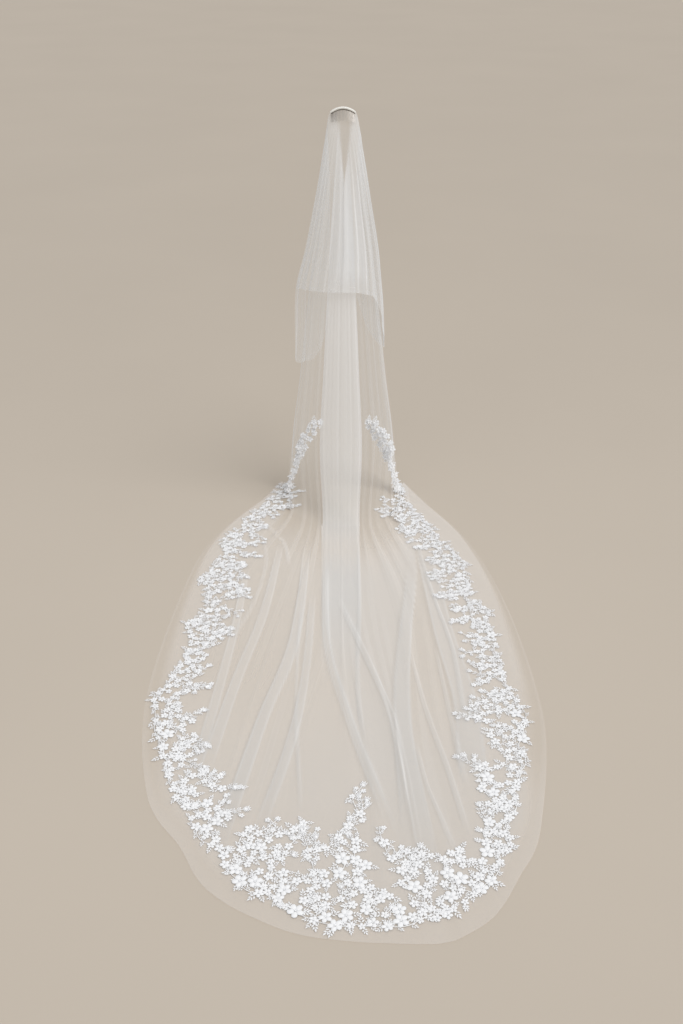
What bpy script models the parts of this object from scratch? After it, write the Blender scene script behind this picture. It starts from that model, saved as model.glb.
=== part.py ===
"""Bridal veil of soft tulle, held by a hair comb: a short tier and a long tier
with a lace border, standing in the pose in which it hangs. Row frame: the
origin is the middle of the comb, +Z is up, the train runs out along -Y."""
import math

import bmesh
import bpy
import numpy as np
from mathutils import geometry

# Sizes in metres
FLOOR = -1.60
TULLE_WALL = 0.0012
SEAM_GAP = 0.0003
LACE_LIFT = 0.0003
LACE_WALL = 0.0010

COMB_HALF_WIDTH = 0.0450
COMB_RISE = 0.0160
COMB_TOP = 0.0080
BINDING_RADIUS = 0.0040
BINDING_SIDES = 10
BINDING_RINGS = 13
BAR_HEIGHT = 0.0032
BAR_THICKNESS = 0.0022
TOOTH_COUNT = 18
TOOTH_LENGTH = 0.0290
TOOTH_BOW = 0.0160
TOOTH_TIP_SCALE = 0.55
GATHER_DEPTH = 0.060

# The long tier hangs as a pleated tube that is open at the far side. Each row
# is an ellipse arc: how far down it is, half width, half depth, centre in Y,
# how far round it wraps on each side in degrees, and how far folds stand out.
FALL_ROWS = (
    # down, half_width, half_depth, centre_y, wrap, fold
    (0.0005, 0.0500, 0.0030, 0.0110, 62.0, 0.0000),
    (0.0350, 0.0520, 0.0100, 0.0080, 84.0, 0.0008),
    (0.1000, 0.0600, 0.0200, 0.0060, 112.0, 0.0030),
    (0.2200, 0.0740, 0.0320, 0.0050, 136.0, 0.0055),
    (0.4000, 0.0960, 0.0460, 0.0050, 150.0, 0.0075),
    (0.6200, 0.1210, 0.0620, 0.0060, 157.0, 0.0090),
    (0.8500, 0.1480, 0.0790, 0.0070, 160.0, 0.0105),
    (1.0600, 0.1720, 0.0960, 0.0090, 160.0, 0.0115),
    (1.2700, 0.2030, 0.1220, 0.0120, 156.0, 0.0125),
    (1.4200, 0.2180, 0.1540, 0.0180, 137.0, 0.0130),
    (1.5200, 0.2270, 0.1900, 0.0260, 120.0, 0.0125),
    (1.5750, 0.2360, 0.2350, 0.0310, 109.0, 0.0115),
    (1.5988, 0.2480, 0.2950, 0.0340, 104.0, 0.0100),
)
SEAM_ROW = 11

# Fold lines of the long tier from its left edge round the near side to its
# right edge: place across the fall, three points down the train, how far the
# fold stands out on the fall (a share of the row's value) and on the train,
# and the stretch of the train that it runs along.
GUIDES = (
    # name, across, x1, y1, x2, y2, x3, y3, fall_share, ridge, start, stop
    ("edge_left", -1.00, -0.255, 0.115, -0.264, 0.135, -0.275, 0.150, 0.0, 0.000, 0.0, 1.0),
    ("far_left", -0.91, -0.276, 0.045, -0.312, 0.012, -0.350, -0.020, 0.9, 0.003, 0.0, 1.0),
    ("side_1", -0.81, -0.325, -0.065, -0.412, -0.170, -0.502, -0.290, 0.8, 0.004, 0.0, 1.0),
    ("side_2", -0.71, -0.352, -0.190, -0.470, -0.390, -0.590, -0.610, 1.0, 0.006, 0.0, 1.0),
    ("side_3", -0.62, -0.352, -0.370, -0.472, -0.740, -0.611, -1.140, 0.7, 0.005, 0.0, 1.0),
    ("outer_left", -0.53, -0.366, -0.600, -0.412, -1.200, -0.560, -1.790, 1.0, 0.012, 0.0, 0.9),
    ("left_4", -0.37, -0.262, -0.700, -0.352, -1.330, -0.450, -1.985, 0.9, 0.013, 0.0, 0.55),
    ("left_3", -0.29, -0.205, -0.790, -0.302, -1.420, -0.400, -2.080, 0.8, 0.010, 0.25, 0.8),
    ("left_2", -0.215, -0.158, -0.840, -0.243, -1.520, -0.345, -2.145, 1.0, 0.019, 0.0, 1.0),
    ("pleat_left", -0.14, -0.066, -0.920, -0.166, -1.580, -0.250, -2.210, 1.0, 0.014, 0.0, 0.9),
    ("centre_1", -0.075, -0.030, -0.930, -0.115, -1.620, -0.125, -2.268, 0.3, 0.007, 0.5, 0.9),
    ("centre_2", -0.01, -0.004, -0.930, 0.018, -1.620, 0.000, -2.290, 0.2, 0.010, 0.3, 0.8),
    ("centre_3", 0.05, 0.022, -0.930, 0.084, -1.620, 0.120, -2.298, 0.3, 0.009, 0.35, 0.85),
    ("pleat_right", 0.11, 0.058, -0.925, 0.160, -1.600, 0.215, -2.300, 1.0, 0.014, 0.0, 0.9),
    ("right_1", 0.175, 0.130, -0.905, 0.192, -1.580, 0.255, -2.296, 0.9, 0.004, 0.0, 0.4),
    ("right_2", 0.245, 0.222, -0.880, 0.226, -1.560, 0.300, -2.280, 1.0, 0.019, 0.0, 1.0),
    ("right_3", 0.32, 0.268, -0.830, 0.298, -1.500, 0.392, -2.212, 0.8, 0.010, 0.3, 0.9),
    ("right_4", 0.42, 0.310, -0.720, 0.366, -1.390, 0.470, -2.090, 1.0, 0.012, 0.0, 0.8),
    ("outer_right", 0.53, 0.345, -0.570, 0.432, -1.180, 0.560, -1.900, 0.9, 0.011, 0.0, 0.7),
    ("side_4", 0.62, 0.362, -0.400, 0.496, -0.860, 0.641, -1.400, 0.8, 0.005, 0.0, 1.0),
    ("side_5", 0.71, 0.358, -0.225, 0.480, -0.500, 0.606, -0.842, 1.0, 0.006, 0.0, 1.0),
    ("side_6", 0.81, 0.330, -0.090, 0.418, -0.215, 0.510, -0.380, 0.7, 0.004, 0.0, 1.0),
    ("far_right", 0.91, 0.280, 0.035, 0.320, -0.015, 0.365, -0.063, 0.9, 0.003, 0.0, 1.0),
    ("edge_right", 1.00, 0.256, 0.110, 0.264, 0.125, 0.272, 0.138, 0.0, 0.000, 0.0, 1.0),
)
TRAIN_STOPS = (0.09, 0.19, 0.31, 0.44, 0.57, 0.69, 0.79, 0.88, 0.95, 1.0)
BIG_RIDGE = 0.0118
BIG_STEPS = (-0.42, -0.13, 0.13, 0.42)
SMALL_STEPS = (-0.36, 0.0, 0.36)
SIDE_STEPS = (0.0, 0.5)
RIDGE_HALF = 0.42
PLEAT_LIFT = 0.5

# The short tier: rows as above, and its hem, which hangs at a different
# height all the way round, given by the angle from the near side.
BLUSHER_ROWS = (
    # down, half_width, half_depth, centre_x, centre_y, wrap
    (0.0005, 0.0520, 0.0066, 0.0000, 0.0110, 66.0),
    (0.0350, 0.0560, 0.0150, 0.0000, 0.0080, 92.0),
    (0.1000, 0.0665, 0.0280, 0.0010, 0.0060, 122.0),
    (0.2200, 0.0860, 0.0430, 0.0010, 0.0050, 143.0),
    (0.3200, 0.1020, 0.0540, 0.0000, 0.0050, 150.0),
    (0.5100, 0.1360, 0.0780, -0.0030, 0.0060, 160.0),
    (0.6700, 0.1640, 0.0980, -0.0140, 0.0070, 164.0),
    (0.9000, 0.1780, 0.1160, -0.0130, 0.0080, 166.0),
    (1.0400, 0.1900, 0.1240, -0.0120, 0.0090, 166.0),
)
BLUSHER_HEM = (
    # share of the wrap, down
    (-1.00, 0.800),
    (-0.93, 0.960),
    (-0.80, 1.005),
    (-0.66, 0.990),
    (-0.56, 0.900),
    (-0.46, 0.660),
    (-0.30, 0.630),
    (0.00, 0.625),
    (0.22, 0.640),
    (0.36, 0.700),
    (0.50, 0.850),
    (0.62, 0.920),
    (0.78, 0.900),
    (0.90, 0.800),
    (1.00, 0.640),
)
BLUSHER_FOLDS = (
    # across, stands_out
    (-0.93, 0.7), (-0.80, 0.9), (-0.67, 0.7), (-0.55, 1.0), (-0.44, 0.8), (-0.34, 1.0),
    (-0.25, 0.8), (-0.16, 1.1), (-0.06, 0.7), (0.04, 1.0), (0.13, 0.8), (0.22, 1.1),
    (0.31, 0.8), (0.41, 1.0), (0.52, 0.7), (0.64, 1.0), (0.77, 0.8), (0.91, 0.8),
)
BLUSHER_STOPS = (0.0, 0.04, 0.11, 0.25, 0.42, 0.61, 0.80, 1.0)
BLUSHER_FOLD_OUT = 0.0100

# Lace flowers: petals, and how deep the notches between them are
PETALS = 5
NOTCH = 0.62
OUTLINE_SNAP = 0.0020
GRID_SNAP = 0.0001
VINE_WIDTH = 0.0060
LEAF_WIDTH = 0.40


def clear_scene():
    for item in list(bpy.data.objects):
        bpy.data.objects.remove(item, do_unlink=True)


def new_collection(name, cutters=False):
    group = bpy.data.collections.new(name)
    bpy.context.scene.collection.children.link(group)
    group.hide_render = cutters
    return group


def material(name, colour, roughness, metallic=0.0, alpha=1.0):
    made = bpy.data.materials.new(name)
    made.use_nodes = True
    shader = made.node_tree.nodes["Principled BSDF"]
    shader.inputs["Base Color"].default_value = (*colour, 1.0)
    shader.inputs["Roughness"].default_value = roughness
    shader.inputs["Metallic"].default_value = metallic
    shader.inputs["Alpha"].default_value = alpha
    return made


def add_object(name, vertices, faces, group, surface):
    mesh = bpy.data.meshes.new(name)
    mesh.from_pydata([tuple(map(float, v)) for v in vertices], [], faces)
    mesh.validate()
    mesh.materials.append(surface)
    item = bpy.data.objects.new(name, mesh)
    group.objects.link(item)
    return item


def face_outward(item):
    """Triangulate a closed body and turn its faces outward."""
    body = bmesh.new()
    body.from_mesh(item.data)
    bmesh.ops.triangulate(body, faces=body.faces)
    bmesh.ops.recalc_face_normals(body, faces=body.faces)
    if body.calc_volume(signed=True) < 0:
        bmesh.ops.reverse_faces(body, faces=body.faces)
    body.to_mesh(item.data)
    body.free()


def smooth_curve(knots, values, places):
    """Values at places along a curve through the knots that doesn't overshoot."""
    knots = np.asarray(knots, float)
    values = np.asarray(values, float)
    places = np.clip(np.asarray(places, float), knots[0], knots[-1])
    flat = values.reshape(len(knots), -1)
    gap = np.diff(knots)[:, None]
    slope = np.diff(flat, axis=0) / gap
    before = np.vstack([slope[:1], slope])
    after = np.vstack([slope, slope[-1:]])
    limit = 3.0 * np.minimum(abs(before), abs(after))
    mean = (before + after) / 2.0
    tangent = np.where(before * after > 0, np.sign(mean) * np.minimum(abs(mean), limit), 0.0)
    tangent[0] = slope[0]
    tangent[-1] = slope[-1]
    i = np.clip(np.searchsorted(knots, places, side="right") - 1, 0, len(knots) - 2)
    h = gap[i]
    t = (places - knots[i])[:, None] / h
    near = (2 * t**3 - 3 * t**2 + 1) * flat[i] + (t**3 - 2 * t**2 + t) * h * tangent[i]
    far = (3 * t**2 - 2 * t**3) * flat[i + 1] + (t**3 - t**2) * h * tangent[i + 1]
    return (near + far).reshape((len(places),) + values.shape[1:])


def soft_step(value, low, high):
    t = np.clip((np.asarray(value, float) - low) / (high - low), 0.0, 1.0)
    return t * t * (3.0 - 2.0 * t)


def arch_height(x):
    """Height of the comb's curved spine."""
    return COMB_TOP - COMB_RISE * (np.asarray(x) / COMB_HALF_WIDTH) ** 2


def hang_from_comb(points, top_down):
    """Lift the rows near the comb so that they follow its arch."""
    down = -points[..., 2]
    share = 1.0 - soft_step(down, top_down, top_down + GATHER_DEPTH)
    x = np.clip(points[..., 0], -COMB_HALF_WIDTH, COMB_HALF_WIDTH)
    points[..., 2] += (arch_height(x)) * share
    return points


def long_tier_columns():
    """Places across the long tier, closer together on its folds."""
    places = []
    for i, guide in enumerate(GUIDES):
        side = guide[0].startswith(("side", "far", "edge"))
        steps = SIDE_STEPS if side else BIG_STEPS if guide[9] > BIG_RIDGE else SMALL_STEPS
        places += [i + step for step in steps]
    last = len(GUIDES) - 1
    return np.array(sorted(p for p in places if 0 <= p <= last))


def guide_curve(columns, first, count=1):
    """Values of the guides' table at the columns."""
    table = np.array([guide[first : first + count] for guide in GUIDES], float)
    return smooth_curve(np.arange(len(GUIDES)), table, columns)


def long_tier_base(columns):
    """The long tier without folds, as rows of points: the fall, then the train."""
    across = guide_curve(columns, 1)[:, 0]
    rows = []
    for down, half_width, half_depth, centre_y, wrap, _ in FALL_ROWS:
        angle = np.radians(across * wrap)
        rows.append(np.stack([
            half_width * np.sin(angle),
            centre_y - half_depth * np.cos(angle),
            np.full(len(columns), -down),
        ], 1))
    ring = rows[-1][:, :2]
    line = np.stack([ring] + [guide_curve(columns, k, 2) for k in (2, 4, 6)])
    train = smooth_curve((0.0, 1 / 3, 2 / 3, 1.0), line, TRAIN_STOPS)
    height = np.full(train.shape[:2] + (1,), FLOOR + TULLE_WALL)
    return np.concatenate([np.array(rows), np.concatenate([train, height], 2)])


def fold_heights(columns):
    """How far each point of the long tier stands out from its base."""
    count = len(GUIDES)
    fall = np.array([row[5] for row in FALL_ROWS])
    reach = np.maximum(0.0, 1.0 - (abs(columns[:, None] - np.arange(count)) / RIDGE_HALF))
    bump = reach * reach * (3.0 - 2.0 * reach)
    on_fall = fall[:, None] * (bump * [g[8] for g in GUIDES]).sum(1)[None]
    names = [g[0] for g in GUIDES]
    left, right = names.index("pleat_left"), names.index("pleat_right")
    band = soft_step(columns, left - 0.5, left) * (1 - soft_step(columns, right, right + 0.5))
    on_fall += fall[:, None] * band[None] * PLEAT_LIFT
    rows = [on_fall]
    start_height = on_fall[-1]
    for stop in TRAIN_STOPS:
        share = []
        for g in GUIDES:
            begins = 1.0 if g[10] == 0.0 else soft_step(stop, g[10] - 0.12, g[10] + 0.12)
            ends = 1.0 if g[11] == 1.0 else 1.0 - soft_step(stop, g[11] - 0.15, g[11] + 0.1)
            share.append(g[9] * begins * ends * (1.0 - 0.45 * soft_step(stop, 0.9, 1.0)))
        from_fall = 1.0 - soft_step(stop, 0.0, 0.3)
        wide = 0.004 * band * (1.0 - soft_step(stop, 0.2, 0.6))
        rows.append((start_height * from_fall + (bump * share).sum(1) * (1 - from_fall) + wide)[None])
    return np.concatenate(rows)


def grid_normals(points):
    """Outward unit normals of a grid of rows that run left to right, top row first."""
    down = np.gradient(points, axis=0)
    across = np.gradient(points, axis=1)
    normal = np.cross(down, across)
    return normal / np.linalg.norm(normal, axis=2, keepdims=True)


def wall_from_grid(name, points, normals, wall, group, surface):
    """A closed wall whose outer side is the grid, with its inner side moved in."""
    row_count, column_count = points.shape[:2]
    outer = points.reshape(-1, 3)
    inner = outer - normals.reshape(-1, 3) * wall
    inner[:, 2] = np.maximum(inner[:, 2], FLOOR)
    shift = len(outer)
    faces = []
    for i in range(row_count - 1):
        for j in range(column_count - 1):
            a, b = i * column_count + j, i * column_count + j + 1
            c, d = b + column_count, a + column_count
            faces += [(a, d, c), (a, c, b)]
            faces += [(a + shift, c + shift, d + shift), (a + shift, b + shift, c + shift)]
    rim = [j for j in range(column_count)]
    rim += [i * column_count + column_count - 1 for i in range(1, row_count)]
    rim += [(row_count - 1) * column_count + j for j in range(column_count - 2, -1, -1)]
    rim += [i * column_count for i in range(row_count - 2, 0, -1)]
    for a, b in zip(rim, rim[1:] + rim[:1]):
        faces.append((a, b, b + shift, a + shift))
    item = add_object(name, np.vstack([outer, inner]), faces, group, surface)
    face_outward(item)
    return item


def long_tier_grid():
    columns = long_tier_columns()
    base = hang_from_comb(long_tier_base(columns), FALL_ROWS[0][0])
    points = base + grid_normals(base) * fold_heights(columns)[..., None]
    return columns, base, points, grid_normals(points)


def build_long_tier(grid, group, surface):
    """The long tier in its two stretches, parted by a narrow gap above the floor."""
    _, _, points, normals = grid
    cut = SEAM_ROW + 1
    wall_from_grid("long_tier_fall", points[:cut], normals[:cut], TULLE_WALL, group, surface)
    train = points[SEAM_ROW:].copy()
    step = train[1] - train[0]
    train[0] += step * SEAM_GAP / np.linalg.norm(step, axis=1, keepdims=True)
    wall_from_grid("long_tier_train", train, normals[SEAM_ROW:], TULLE_WALL, group, surface)


def build_blusher(group, surface):
    """The short tier: one gathered sheet round the fall, with an uneven hem."""
    centres = [fold[0] for fold in BLUSHER_FOLDS]
    valleys = [(a + b) / 2 for a, b in zip(centres, centres[1:])]
    columns = np.array(sorted([-1.0, 1.0] + centres + valleys))
    hem_table = np.array(BLUSHER_HEM)
    hem = smooth_curve(hem_table[:, 0], hem_table[:, 1], columns)
    rows = np.array(BLUSHER_ROWS)
    top = rows[0, 0]
    heights = np.interp(columns, centres, [fold[1] for fold in BLUSHER_FOLDS])
    is_ridge = np.isin(columns, centres)
    grid = []
    out = []
    for stop in BLUSHER_STOPS:
        down = top + stop * (hem - top)
        size = smooth_curve(rows[:, 0], rows[:, 1:], down)
        angle = np.radians(columns * size[:, 4])
        grid.append(np.stack([
            size[:, 2] + size[:, 0] * np.sin(angle),
            size[:, 3] - size[:, 1] * np.cos(angle),
            -down,
        ], 1))
        out.append(np.where(is_ridge, heights, 0.0) * BLUSHER_FOLD_OUT * soft_step(stop, 0.0, 0.7))
    base = hang_from_comb(np.array(grid), top)
    points = base + grid_normals(base) * np.array(out)[..., None]
    wall_from_grid("blusher", points, grid_normals(points), TULLE_WALL, group, surface)


def flower_outline(x, y, radius, turn):
    """A flat flower outline: pointed petals with notches between them."""
    points = []
    for k in range(PETALS * 2):
        angle = turn + math.pi * k / PETALS
        reach = radius * (1.0 if k % 2 else NOTCH)
        points.append((x + reach * math.cos(angle), y + reach * math.sin(angle)))
    return points


def leaf_outline(x, y, length, turn):
    """A pointed leaf that starts at x, y."""
    shape = ((0, 0), (0.45, -0.5), (1, 0), (0.45, 0.5))
    cos, sin = math.cos(turn), math.sin(turn)
    points = []
    for along, side in shape:
        u, v = along * length, side * length * LEAF_WIDTH
        points.append((x + u * cos - v * sin, y + u * sin + v * cos))
    return points


def stem_outlines(path, width):
    """Flat strips along a path, one for each step, that overlap at the bends."""
    strips = []
    for (x0, y0), (x1, y1) in zip(path, path[1:]):
        length = math.hypot(x1 - x0, y1 - y0)
        ux, uy = (x1 - x0) / length, (y1 - y0) / length
        ex, ey = ux * width / 2, uy * width / 2
        sx, sy = -uy * width / 2, ux * width / 2
        strips.append([
            (x0 - ex + sx, y0 - ey + sy),
            (x0 - ex - sx, y0 - ey - sy),
            (x1 + ex - sx, y1 + ey - sy),
            (x1 + ex + sx, y1 + ey + sy),
        ])
    return strips


def inside(points, outline):
    """True for each point that lies within the outline."""
    x, y = points[:, 0], points[:, 1]
    result = np.zeros(len(points), bool)
    for (x0, y0), (x1, y1) in zip(outline, outline[1:] + outline[:1]):
        if y0 == y1:
            continue
        crosses = (y0 > y) != (y1 > y)
        result ^= crosses & (x < (x1 - x0) * (y - y0) / (y1 - y0) + x0)
    return result


def flat_triangles(vertices, edges, shapes, snap):
    """Spots and triangles of a flat mesh cut along the edges, and which lie in a shape."""
    made = geometry.delaunay_2d_cdt(vertices, edges, [], 0, snap)
    spots = np.array([tuple(v) for v in made[0]])
    triangles = np.array([tuple(f) for f in made[2] if len(f) == 3])
    centres = spots[triangles].mean(1)
    wanted = np.zeros(len(triangles), bool)
    for shape in shapes:
        wanted |= inside(centres, [tuple(p) for p in shape])
    return spots, triangles, centres, wanted


def joined_outline(shapes):
    """Vertices and edges of the outline round all the shapes joined together."""
    vertices, edges = [], []
    for shape in shapes:
        first = len(vertices)
        vertices += [tuple(map(float, p)) for p in shape]
        ring = list(range(first, len(vertices)))
        edges += list(zip(ring, ring[1:] + ring[:1]))
    spots, triangles, _, wanted = flat_triangles(vertices, edges, shapes, OUTLINE_SNAP)
    rim = {}
    for tri in triangles[wanted].tolist():
        for a, b in zip(tri, tri[1:] + tri[:1]):
            key = (min(a, b), max(a, b))
            rim[key] = rim.get(key, 0) + 1
    rim = [key for key, users in rim.items() if users == 1]
    used = sorted({v for key in rim for v in key})
    at = {v: k for k, v in enumerate(used)}
    return [tuple(map(float, spots[v])) for v in used], [(at[a], at[b]) for a, b in rim]


def keep_one_body(triangles):
    """Drop triangles that meet the rest only at a point, and keep the largest body."""
    triangles = [tuple(t) for t in triangles]
    while True:
        edges = {}
        for k, tri in enumerate(triangles):
            for a, b in zip(tri, tri[1:] + tri[:1]):
                edges.setdefault((min(a, b), max(a, b)), []).append(k)
        rim = {}
        for (a, b), users in edges.items():
            if len(users) == 1:
                rim.setdefault(a, []).append(users[0])
                rim.setdefault(b, []).append(users[0])
        pinched = {v for v, users in rim.items() if len(users) > 2}
        if not pinched:
            break
        drop = {min(rim[v]) for v in pinched}
        triangles = [t for k, t in enumerate(triangles) if k not in drop]
    parent = list(range(len(triangles)))

    def root(k):
        while parent[k] != k:
            parent[k] = parent[parent[k]]
            k = parent[k]
        return k

    for users in edges.values():
        for other in users[1:]:
            parent[root(other)] = root(users[0])
    roots = [root(k) for k in range(len(triangles))]
    largest = max(set(roots), key=roots.count)
    return [t for t, r in zip(triangles, roots) if r == largest]


def drape_lace(name, shapes, flat, points, normals, group, surface):
    """Lay flat openwork on a cloth grid: the shapes are joined flat and cut along
    the grid's own lines, so that the lace follows the cloth facet by facet."""
    row_count, column_count = flat.shape[:2]
    corners = flat.reshape(-1, 2)
    cells = []
    for i in range(row_count - 1):
        for j in range(column_count - 1):
            a, b = i * column_count + j, i * column_count + j + 1
            cells += [(a, b + column_count, a + column_count), (a, b, b + column_count)]
    low = np.min([np.min(s, axis=0) for s in shapes], axis=0)
    high = np.max([np.max(s, axis=0) for s in shapes], axis=0)
    cells = [
        c for c in cells
        if (corners[list(c)].max(0) >= low).all() and (corners[list(c)].min(0) <= high).all()
    ]
    used = sorted({v for c in cells for v in c})
    at = {v: k for k, v in enumerate(used)}
    vertices = [tuple(map(float, corners[v])) for v in used]
    edges = {tuple(sorted((at[a], at[b]))) for c in cells for a, b in zip(c, c[1:] + c[:1])}
    edges = list(edges)
    outline, outline_edges = joined_outline(shapes)
    first = len(vertices)
    vertices += outline
    edges += [(a + first, b + first) for a, b in outline_edges]
    spots, triangles, centres, wanted = flat_triangles(vertices, edges, shapes, GRID_SNAP)
    home = np.full(len(triangles), -1)
    weights = {}
    for k, cell in enumerate(cells):
        p, q, r = corners[list(cell)]
        matrix = np.array([[q[0] - p[0], r[0] - p[0]], [q[1] - p[1], r[1] - p[1]]])
        if abs(np.linalg.det(matrix)) < 1e-12:
            continue
        uv = np.linalg.solve(matrix, (centres - p).T).T
        hit = (uv.min(1) >= -1e-7) & (uv.sum(1) <= 1 + 1e-7)
        home[hit] = k
        weights[k] = (p, matrix)
    triangles = triangles[wanted & (home >= 0)]
    homes = home[wanted & (home >= 0)]
    cell_of = {}
    for tri, cell in zip(triangles, homes):
        for v in tri:
            cell_of.setdefault(int(v), int(cell))
    triangles = keep_one_body(triangles.tolist())
    used = sorted({v for t in triangles for v in t})
    at = {v: k for k, v in enumerate(used)}
    flat_points = points.reshape(-1, 3)
    flat_normals = normals.reshape(-1, 3)
    upper, lower = [], []
    for v in used:
        p, matrix = weights[cell_of[v]]
        second, third = np.linalg.solve(matrix, spots[v] - p)
        share = np.array([1 - second - third, second, third])
        cell = list(cells[cell_of[v]])
        spot = share @ flat_points[cell]
        normal = share @ flat_normals[cell]
        lower.append(spot + normal * LACE_LIFT)
        upper.append(spot + normal * (LACE_LIFT + LACE_WALL))
    shift = len(used)
    faces = []
    rim = {}
    for tri in triangles:
        a, b, c = (at[v] for v in tri)
        faces += [(a, b, c), (a + shift, c + shift, b + shift)]
        for s, e in ((a, b), (b, c), (c, a)):
            if (e, s) in rim:
                del rim[(e, s)]
            else:
                rim[(s, e)] = True
    for s, e in rim:
        faces.append((s, s + shift, e + shift, e))
    item = add_object(name, np.array(upper + lower), faces, group, surface)
    face_outward(item)
    return item


def path_length_points(path, step):
    """Points and headings at even steps along a path."""
    path = np.array(path)
    lengths = np.concatenate([[0], np.cumsum(np.linalg.norm(np.diff(path, axis=0), axis=1))])
    count = max(2, int(round(lengths[-1] / step)))
    places = np.linspace(0, lengths[-1], count + 1)
    spots = smooth_curve(lengths, path, places)
    heads = np.gradient(spots, axis=0)
    return spots, np.arctan2(heads[:, 1], heads[:, 0])


# Lace garlands on the train: the middle line of the main stem, from the far
# end to the near end, then how big and how close its flowers are.
LACE_LEFT = ((-0.292, 0.020), (-0.372, -0.150), (-0.418, -0.300), (-0.436, -0.520), (-0.452, -0.740),
             (-0.470, -0.940), (-0.490, -1.110), (-0.552, -1.290), (-0.562, -1.430), (-0.530, -1.570))
LACE_FRONT = ((-0.462, -1.720), (-0.418, -1.840), (-0.350, -1.960), (-0.250, -2.070), (-0.130, -2.150),
              (0.000, -2.195), (0.130, -2.200), (0.250, -2.150), (0.350, -2.050), (0.410, -1.930))
LACE_RIGHT = ((0.265, 0.005), (0.338, -0.170), (0.372, -0.330), (0.410, -0.520), (0.440, -0.730),
              (0.470, -0.920), (0.505, -1.120), (0.535, -1.290), (0.545, -1.430), (0.510, -1.600),
              (0.470, -1.790))
GARLANDS = (
    # name, path, step, flower_small, flower_large, reach_in, side
    ("lace_left", LACE_LEFT, 0.165, 0.036, 0.050, 0.095, 1.0),
    ("lace_front", LACE_FRONT, 0.150, 0.056, 0.060, 0.150, 1.0),
    ("lace_right", LACE_RIGHT, 0.165, 0.036, 0.050, 0.095, -1.0),
)
FRONT_SPRAYS = (
    # root_x, root_y, tip_x, tip_y
    (-0.395, -1.880, -0.330, -1.660),
    (-0.215, -2.090, -0.215, -1.780),
    (0.000, -2.190, -0.010, -1.660),
    (0.240, -2.150, 0.270, -1.850),
)


def garland_shapes(path, step, small, large, reach_in, side):
    """A stem with flowers on it, and with leafy twigs on both sides."""
    spots, heads = path_length_points(path, step)
    shapes = stem_outlines(spots.tolist(), VINE_WIDTH)
    count = len(spots)
    for k, ((x, y), head) in enumerate(zip(spots, heads)):
        grown = small + (large - small) * min(1.0, k / (count - 1) * 1.2)
        sway = 0.012 * math.sin(2.4 * k)
        inward = head + side * math.pi / 2
        cx, cy = x + sway * math.cos(inward), y + sway * math.sin(inward)
        shapes.append(flower_outline(cx, cy, grown * (1.0 + 0.12 * math.sin(5.1 * k)), 0.7 * k))
        if k == count - 1:
            continue
        length = reach_in * (0.72 + 0.28 * math.sin(1.9 * k + 0.6))
        turn = inward - side * 0.45
        tip = (x + length * math.cos(turn), y + length * math.sin(turn))
        shapes += stem_outlines([(x, y), tip], VINE_WIDTH)
        if k % 2:
            shapes.append(flower_outline(*tip, grown * 0.66, 1.3 * k))
        else:
            shapes.append(leaf_outline(*tip, grown * 1.2, turn))
        shapes.append(leaf_outline(x, y, length * 0.8, turn - side * 0.75))
        if k % 2:
            outward = head - side * (1.15 + 0.3 * math.sin(3.3 * k))
            shapes.append(leaf_outline(x, y, grown * 1.75, outward))
    return shapes


def spray_shapes(root, tip, leaf):
    """A tall sprig that points into the train, with leaves up both sides."""
    bend = ((root[0] + tip[0]) / 2 + 0.02, (root[1] + tip[1]) / 2)
    spots, heads = path_length_points([root, bend, tip], 0.100)
    shapes = stem_outlines(spots.tolist(), VINE_WIDTH)
    for k, ((x, y), head) in enumerate(zip(spots[1:-1], heads[1:-1])):
        for side in (1.0, -1.0):
            shapes.append(leaf_outline(x, y, leaf * (1.0 - 0.06 * k), head + side * 0.85))
    shapes.append(flower_outline(*spots[-1], leaf * 0.55, 0.4))
    return shapes


def build_lace(grid, group, surface):
    """The appliqued border of the train, laid on its folds."""
    _, base, points, normals = grid
    first = len(FALL_ROWS) - 1
    flat, cloth, up = base[first:, :, :2], points[first:], normals[first:]
    for name, path, step, small, large, reach_in, side in GARLANDS:
        shapes = garland_shapes(path, step, small, large, reach_in, side)
        if name == "lace_front":
            for x0, y0, x1, y1 in FRONT_SPRAYS:
                shapes += spray_shapes((x0, y0), (x1, y1), 0.066)
        drape_lace(name, shapes, flat, cloth, up, group, surface)


END_LACE_ROWS = (8, 12)
END_LACE_COLUMNS = 9


def build_end_lace(grid, group, surface):
    """The lace that climbs the two edges of the fall, above the floor."""
    _, _, points, normals = grid
    top, low = END_LACE_ROWS
    last = points.shape[1]
    for name, side in (("lace_end_left", 1), ("lace_end_right", -1)):
        picked = range(END_LACE_COLUMNS) if side > 0 else range(last - END_LACE_COLUMNS, last)
        cloth = points[top:low, list(picked)]
        up = normals[top:low, list(picked)]
        order = cloth if side > 0 else cloth[:, ::-1]
        width = np.cumsum(np.linalg.norm(np.diff(order, axis=1), axis=2), axis=1)
        width = np.concatenate([np.zeros((len(width), 1)), width], 1)
        width = width if side > 0 else -width[:, ::-1]
        edge = order[:, 0]
        drop = np.concatenate([[0], np.cumsum(np.linalg.norm(np.diff(edge, axis=0), axis=1))])
        flat = np.stack([width, np.repeat(-drop[:, None], len(picked), 1)], 2)
        length = drop[-1]
        path = [(side * 0.030, -0.035), (side * 0.040, -length * 0.5), (side * 0.034, -length + 0.03)]
        shapes = garland_shapes(path, 0.085, 0.026, 0.030, 0.045, side)
        drape_lace(name, shapes, flat, cloth, up, group, surface)


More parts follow.
